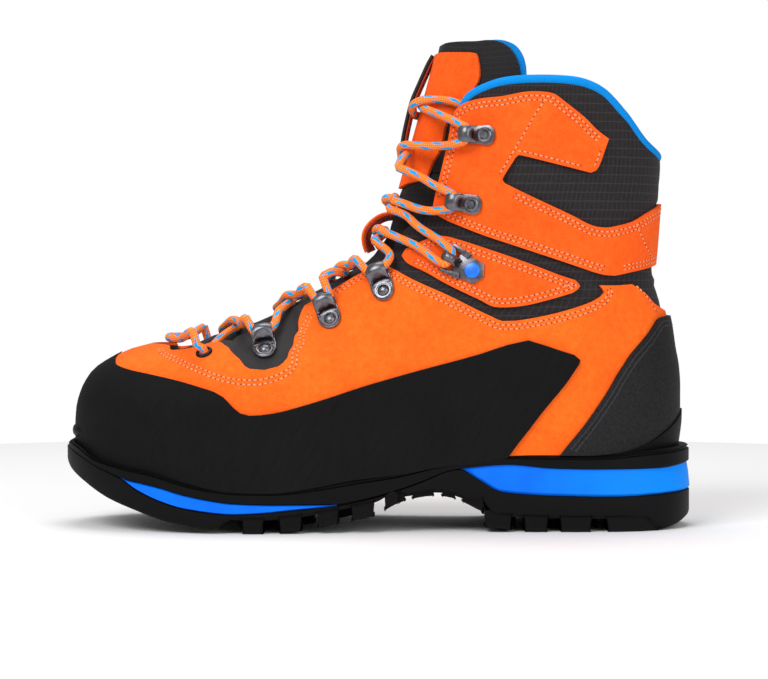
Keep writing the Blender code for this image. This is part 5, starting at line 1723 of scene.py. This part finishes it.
    def build(self) -> None:
        """Builds the fittings on both sides."""
        for side, word in ((-1, "outer"), (1, "inner")):
            self.guides(side, word)
            self.hooks(side, word)
            self.eyelets(side, word)


class Lace(Maker):
    """One lace, from a tucked end down to the toe bar and up to the other."""

    RADIUS = 2.05
    AT_EYELET = ((-91, 86.6, 4.3), (-76, 92, 0.9))
    AT_FITTING = ((None, (-47.4, 99.6, 5.8)), ((-35, 107.4, 5.6), (-16.4, 113.2, 5.8)),
                  ((-9.4, 122.4, 5.6), (9.2, 129.6, 5.4)), ((23.5, 134.2, 5.6), (21, 144.6, 5.0)),
                  ((25, 152.2, 5.6), (25.4, 166, 5.0)), ((29.6, 183, 5.6), (29.8, 199.4, 5.0)))
    TUCKED = ((25.6, 206.8), (30, 207.6), (35, 206), (40, 202.6), (44, 198.6))
    TUCKED_LIFT = 4.2
    CROSSINGS = ((94.0, 96.1, 95.6, 2.2), (105.2, 108.6, 107.6, 2.2), (119.4, 123.1, 122.4, 2.2),
                 (138.0, 144.0, 142.2, 2.4), (154.4, 160.6, 158.6, 2.6), (179.2, 185.4, 183.4, 4.3),
                 (199.2, 206.4, 203.6, 4.3))
    CROSSING_TURN = 0.105
    SEAT_GAP = 1.0
    HELD = 3.9
    BORE_MIDDLE = 2.55
    GUIDE_REACH, GUIDE_WIDTH = 9.2, 8.0
    CLEAR, OVER_PANELS, STRAND_GAP = 0.15, 2.15, 0.1
    TURN_STEP, SPACING = 0.07, 1.1
    SIDES = 14

    def stops(self) -> list[tuple]:
        """Guides and hooks in the lace's order: place, aim, height, reach, width, and if it turns back."""
        guides = [(place, towards, under, self.GUIDE_REACH, self.GUIDE_WIDTH, False)
                  for _, place, towards, under in Fittings.GUIDES]
        return guides + [(*hook[1:], True) for hook in Fittings.HOOKS]

    @staticmethod
    def on_upper(turn: float, z: float, lift: float) -> Vector:
        """One point off the upper."""
        return Vector(UPPER.place(np.array([turn]), np.array([z]), np.array([lift]))[0])

    def through_eyelet(self, side: int) -> list[Vector]:
        """Down through the bore from the toe bar, and back out of the throat under the vamp's edge."""
        at = Fittings.eyelet_seat(side, self.BORE_MIDDLE)
        local = [(0.8, -side * 6.4, 5.0), (0.1, -side * 2.5, 4.2), (0, 0, 1.6), (0, 0, -1.8),
                 (1.9, side * 0.3, -4.4), (6.0, side * 1.2, -4.5)]
        return [at @ Vector(place) for place in local]

    def through_fold(self, at: Matrix, reach: float, side: int, half: float,
                     turned_back: bool) -> list[Vector]:
        """Through a folded fitting: straight on, or round it and back towards the front ridge."""
        local = [(0.0, -half - 3.0), (0.0, -half)]
        if turned_back:
            local = [(4.0, -half - 2.6), (0.9, -half - 0.8), (-0.4, -0.45 * half)]
        local += [(ahead, -across) for ahead, across in reversed(local)]
        return [at @ Vector((reach + ahead, side * across, Fittings.LOOP_RISE)) for ahead, across in local]

    def over_ridge(self, crossing: tuple, from_outer: bool) -> list[tuple]:
        """Places of a strand on its way over the front ridge, from the outer side."""
        inner_z, outer_z, meet, lift = crossing
        if from_outer:
            return [(-self.CROSSING_TURN, meet - 1.0, lift), (0.0, outer_z, lift)]
        middle = (meet - 0.8 + inner_z) / 2
        start = (-self.CROSSING_TURN, meet - 0.8, lift + 4.3)
        return [start, (-self.CROSSING_TURN / 2, middle, lift + 2.2), (0.0, inner_z, lift)]

    def strand(self, side: int) -> list:
        """One half of the lace, from beside the toe bar's middle to its tucked end."""
        before, after = [(side * UPPER.turn_at(x, z), z, lift) for x, z, lift in self.AT_EYELET]
        places: list = [before] + self.through_eyelet(side) + [after]
        stops = self.stops()
        for number, crossing in enumerate(self.CROSSINGS):
            pair = self.over_ridge(crossing, side < 0)
            places += pair if side < 0 else pair[::-1]
            side = -side
            if number == len(stops):
                for x, z in self.TUCKED if side > 0 else self.TUCKED[1:]:
                    turn = side * UPPER.turn_at(x, z)
                    places.append((turn, z, float(shaft_dip(np.array(turn), z)) + self.TUCKED_LIFT))
                break
            place, towards, under, reach, width, back = stops[number]
            at = Fittings.seat(place, towards, side, under + self.SEAT_GAP)
            before, after = self.AT_FITTING[number]
            if before:
                places.append((side * UPPER.turn_at(*before[:2]), *before[1:]))
            places += self.through_fold(at, reach, side, width / 2 + 0.5, back)
            places.append((side * UPPER.turn_at(*after[:2]), *after[1:]))
        return places

    def route(self) -> np.ndarray:
        """The whole route, pulled taut between its fittings, as points about a millimetre apart."""
        places = self.strand(-1)[::-1] + [(0.0, 88.6, 3.4)] + self.strand(1)
        points: list[Vector] = []
        for number, place in enumerate(places):
            last = places[number - 1] if number else None
            if isinstance(place, tuple) and isinstance(last, tuple):
                pieces = math.ceil(abs(place[0] - last[0]) / self.TURN_STEP)
                for n in range(1, pieces):
                    points.append(self.on_upper(*[a + (b - a) * n / pieces for a, b in zip(last, place)]))
            points.append(place if isinstance(place, Vector) else self.on_upper(*place))
        line = curve_through(np.array(points), self.SPACING)
        inside = np.linalg.norm(line[:, None, :] - self.centres()[None, :, :], axis=2).min(axis=1) < self.HELD
        inside[:8] = inside[-8:] = True
        return self.pulled_taut(line, inside)

    def centres(self) -> np.ndarray:
        """Middles of the fittings and the bores, which hold the lace."""
        found = []
        for side in (-1, 1):
            for place, towards, under, reach, *_ in self.stops():
                at = Fittings.seat(place, towards, side, under + self.SEAT_GAP)
                found.append(at @ Vector((reach, 0, Fittings.LOOP_RISE)))
            at = Fittings.eyelet_seat(side, self.BORE_MIDDLE)
            found += [at @ Vector((0, 0, height)) for height in (2.0, 0.0, -2.0)]
        return np.array(found)

    def off_upper(self, points: np.ndarray) -> tuple[np.ndarray, np.ndarray, np.ndarray]:
        """Height of points off the upper, the way out at each, and its turn."""
        front, back = UPPER.front.at(points[:, 2]), UPPER.back.at(points[:, 2])
        share = np.clip((points[:, 0] - front) / (back - front), 0, 1)
        turn = np.arccos(1 - 2 * share) / math.pi * np.where(points[:, 1] < UPPER.middle(points[:, 0]), -1, 1)
        out = UPPER.normal(turn, points[:, 2])
        return ((points - UPPER.ring(turn, points[:, 2])) * out).sum(axis=1), out, turn

    def pulled_taut(self, line: np.ndarray, inside: np.ndarray, rounds: int = 70) -> np.ndarray:
        """A line shortened between the places held inside fittings.

        Args:
            line: Points about a millimetre apart.
            inside: Which points stay.
            rounds: How many times each point moves towards its neighbours' middle.

        Returns:
            The new line, which stays off the upper and off its own other strands.
        """
        off, _, turn = self.off_upper(line)
        over_panels = ease(0.07, 0.12, np.abs(turn))
        least = np.minimum(off, self.RADIUS + self.CLEAR + self.OVER_PANELS * over_panels)
        free = ~inside[:, None]
        number = np.arange(len(line))
        apart = np.abs(number[:, None] - number[None, :]) > 9
        reach = 2 * self.RADIUS + self.STRAND_GAP
        for _ in range(rounds):
            moved = line.copy()
            moved[1:-1] += 0.5 * ((line[:-2] + line[2:]) / 2 - line[1:-1])
            gaps = moved[:, None, :] - moved[None, :, :]
            far = np.linalg.norm(gaps, axis=2)
            push = np.where(apart & (far < reach), (reach - far) / np.maximum(far, 0.2) * 0.25, 0.0)
            moved += (gaps * push[:, :, None]).sum(axis=1)
            off, out, _ = self.off_upper(moved)
            moved += out * np.maximum(least - off, 0)[:, None]
            line = np.where(free, moved, line)
        return line

    def build(self) -> None:
        """Builds the lace."""
        points = self.route()
        LOG.info("lace length %.0f mm", lengths_along(points)[-1])
        ends = np.ones(len(points))
        ends[0] = ends[-1] = 0.6
        bm = sweep(points, frames_along(points, (0, 0, 1)), circle(self.RADIUS, self.SIDES), True, ends)
        piece = self.shop.finish("lace_braided", bm, self.looks.lace, "lace_cord", ["lace"], 60)
        self.shop.attach(piece, None)


class Insides:
    """Parts inside the boot, which keep the frame's shapes and take their own finishes."""

    def __init__(self, looks: Finishes) -> None:
        """Args:
        looks: The finishes to hand out.
        """
        self.finishes = {"shank": looks.metal, "lasting_board": looks.board, "footbed": looks.foam,
                         "toe_puff": looks.board, "heel_counter": looks.board}

    def build(self) -> None:
        """Dresses them."""
        for name, look in self.finishes.items():
            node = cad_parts[name]
            node.data.materials.clear()
            node.data.materials.append(look)


class Studio:
    """White table, soft lights and the camera.

    Lengths are metres, light powers watts. LAMPS holds each lamp's name, place, size and power. The room's
    own light falls on the boot at ROOM_LIGHT and shows behind it at ROOM_SEEN, so it looks white.
    """

    EYE = (0.00285, -1.304162, 0.130)
    TILT = math.radians(88.26)
    LENS = 124.36
    SENSOR = 36.0
    AIM = (0, 0, 0.11)
    LAMPS = (("key", (-0.7, -1.1, 1.2), 0.9, 19.0), ("fill", (0.9, -1.2, 0.6), 1.0, 8.0),
             ("top", (0.0, 0.3, 1.4), 0.8, 8.0))
    FLOOR_RADIUS, FLOOR_SIDES = 0.62, 96
    ROOM_LIGHT, ROOM_SEEN = 0.42, 1.0

    def light(self, name: str, place: Sequence[float], size: float, watts: float) -> None:
        """A square soft light aimed at the boot."""
        data = bpy.data.lights.new(name, "AREA")
        data.size, data.energy = size, watts
        lamp = bpy.data.objects.new(name, data)
        lamp.location = place
        aim = Vector(self.AIM) - Vector(place)
        lamp.rotation_euler = aim.to_track_quat("-Z", "Y").to_euler()
        bpy.context.scene.collection.objects.link(lamp)

    def floor(self) -> None:
        """A round white table top."""
        bm = bmesh.new()
        bmesh.ops.create_circle(bm, cap_ends=True, segments=self.FLOOR_SIDES, radius=self.FLOOR_RADIUS)
        mesh = bpy.data.meshes.new("floor")
        bm.to_mesh(mesh)
        bm.free()
        shader = Shader("floor_white")
        shader.feed(shader.surface, Base_Color=srgb("f4f4f4"), Roughness=0.8)
        mesh.materials.append(shader.material)
        floor = bpy.data.objects.new("floor", mesh)
        bpy.context.scene.collection.objects.link(floor)

    def room(self) -> None:
        """A white room that looks brighter than it lights."""
        world = bpy.data.worlds.new("white_room")
        world.use_nodes = True
        tree = world.node_tree
        seen = tree.nodes.new("ShaderNodeLightPath").outputs["Is Camera Ray"]
        strength = tree.nodes.new("ShaderNodeMapRange")
        strength.inputs["To Min"].default_value = self.ROOM_LIGHT
        strength.inputs["To Max"].default_value = self.ROOM_SEEN
        tree.links.new(seen, strength.inputs["Value"])
        tree.nodes["Background"].inputs["Color"].default_value = (1, 1, 1, 1)
        tree.links.new(strength.outputs["Result"], tree.nodes["Background"].inputs["Strength"])
        bpy.context.scene.world = world

    def camera(self) -> None:
        """The camera, level with the boot's middle."""
        data = bpy.data.cameras.new("camera")
        data.lens, data.sensor_width = self.LENS, self.SENSOR
        camera = bpy.data.objects.new("camera", data)
        camera.location = self.EYE
        camera.rotation_euler = (self.TILT, 0, 0)
        bpy.context.scene.collection.objects.link(camera)
        bpy.context.scene.camera = camera

    def build(self) -> None:
        """Sets the stage."""
        self.floor()
        for lamp in self.LAMPS:
            self.light(*lamp)
        self.room()
        self.camera()
        bpy.context.scene.view_settings.view_transform = "Standard"


def main() -> None:
    """Builds the boot's looks over its frame."""
    logging.basicConfig(level=logging.INFO, format="%(message)s")
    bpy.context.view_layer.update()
    looks = Finishes()
    shop = Workshop(looks)
    SoleUnit(shop, looks).build()
    FootUpper(shop, looks).build()
    Cuff(shop, looks).build()
    Tongue(shop, looks).build()
    Fittings(shop, looks).build()
    Lace(shop, looks).build()
    Insides(looks).build()
    Studio().build()
    bpy.context.view_layer.update()


if __name__ == "__main__":
    main()
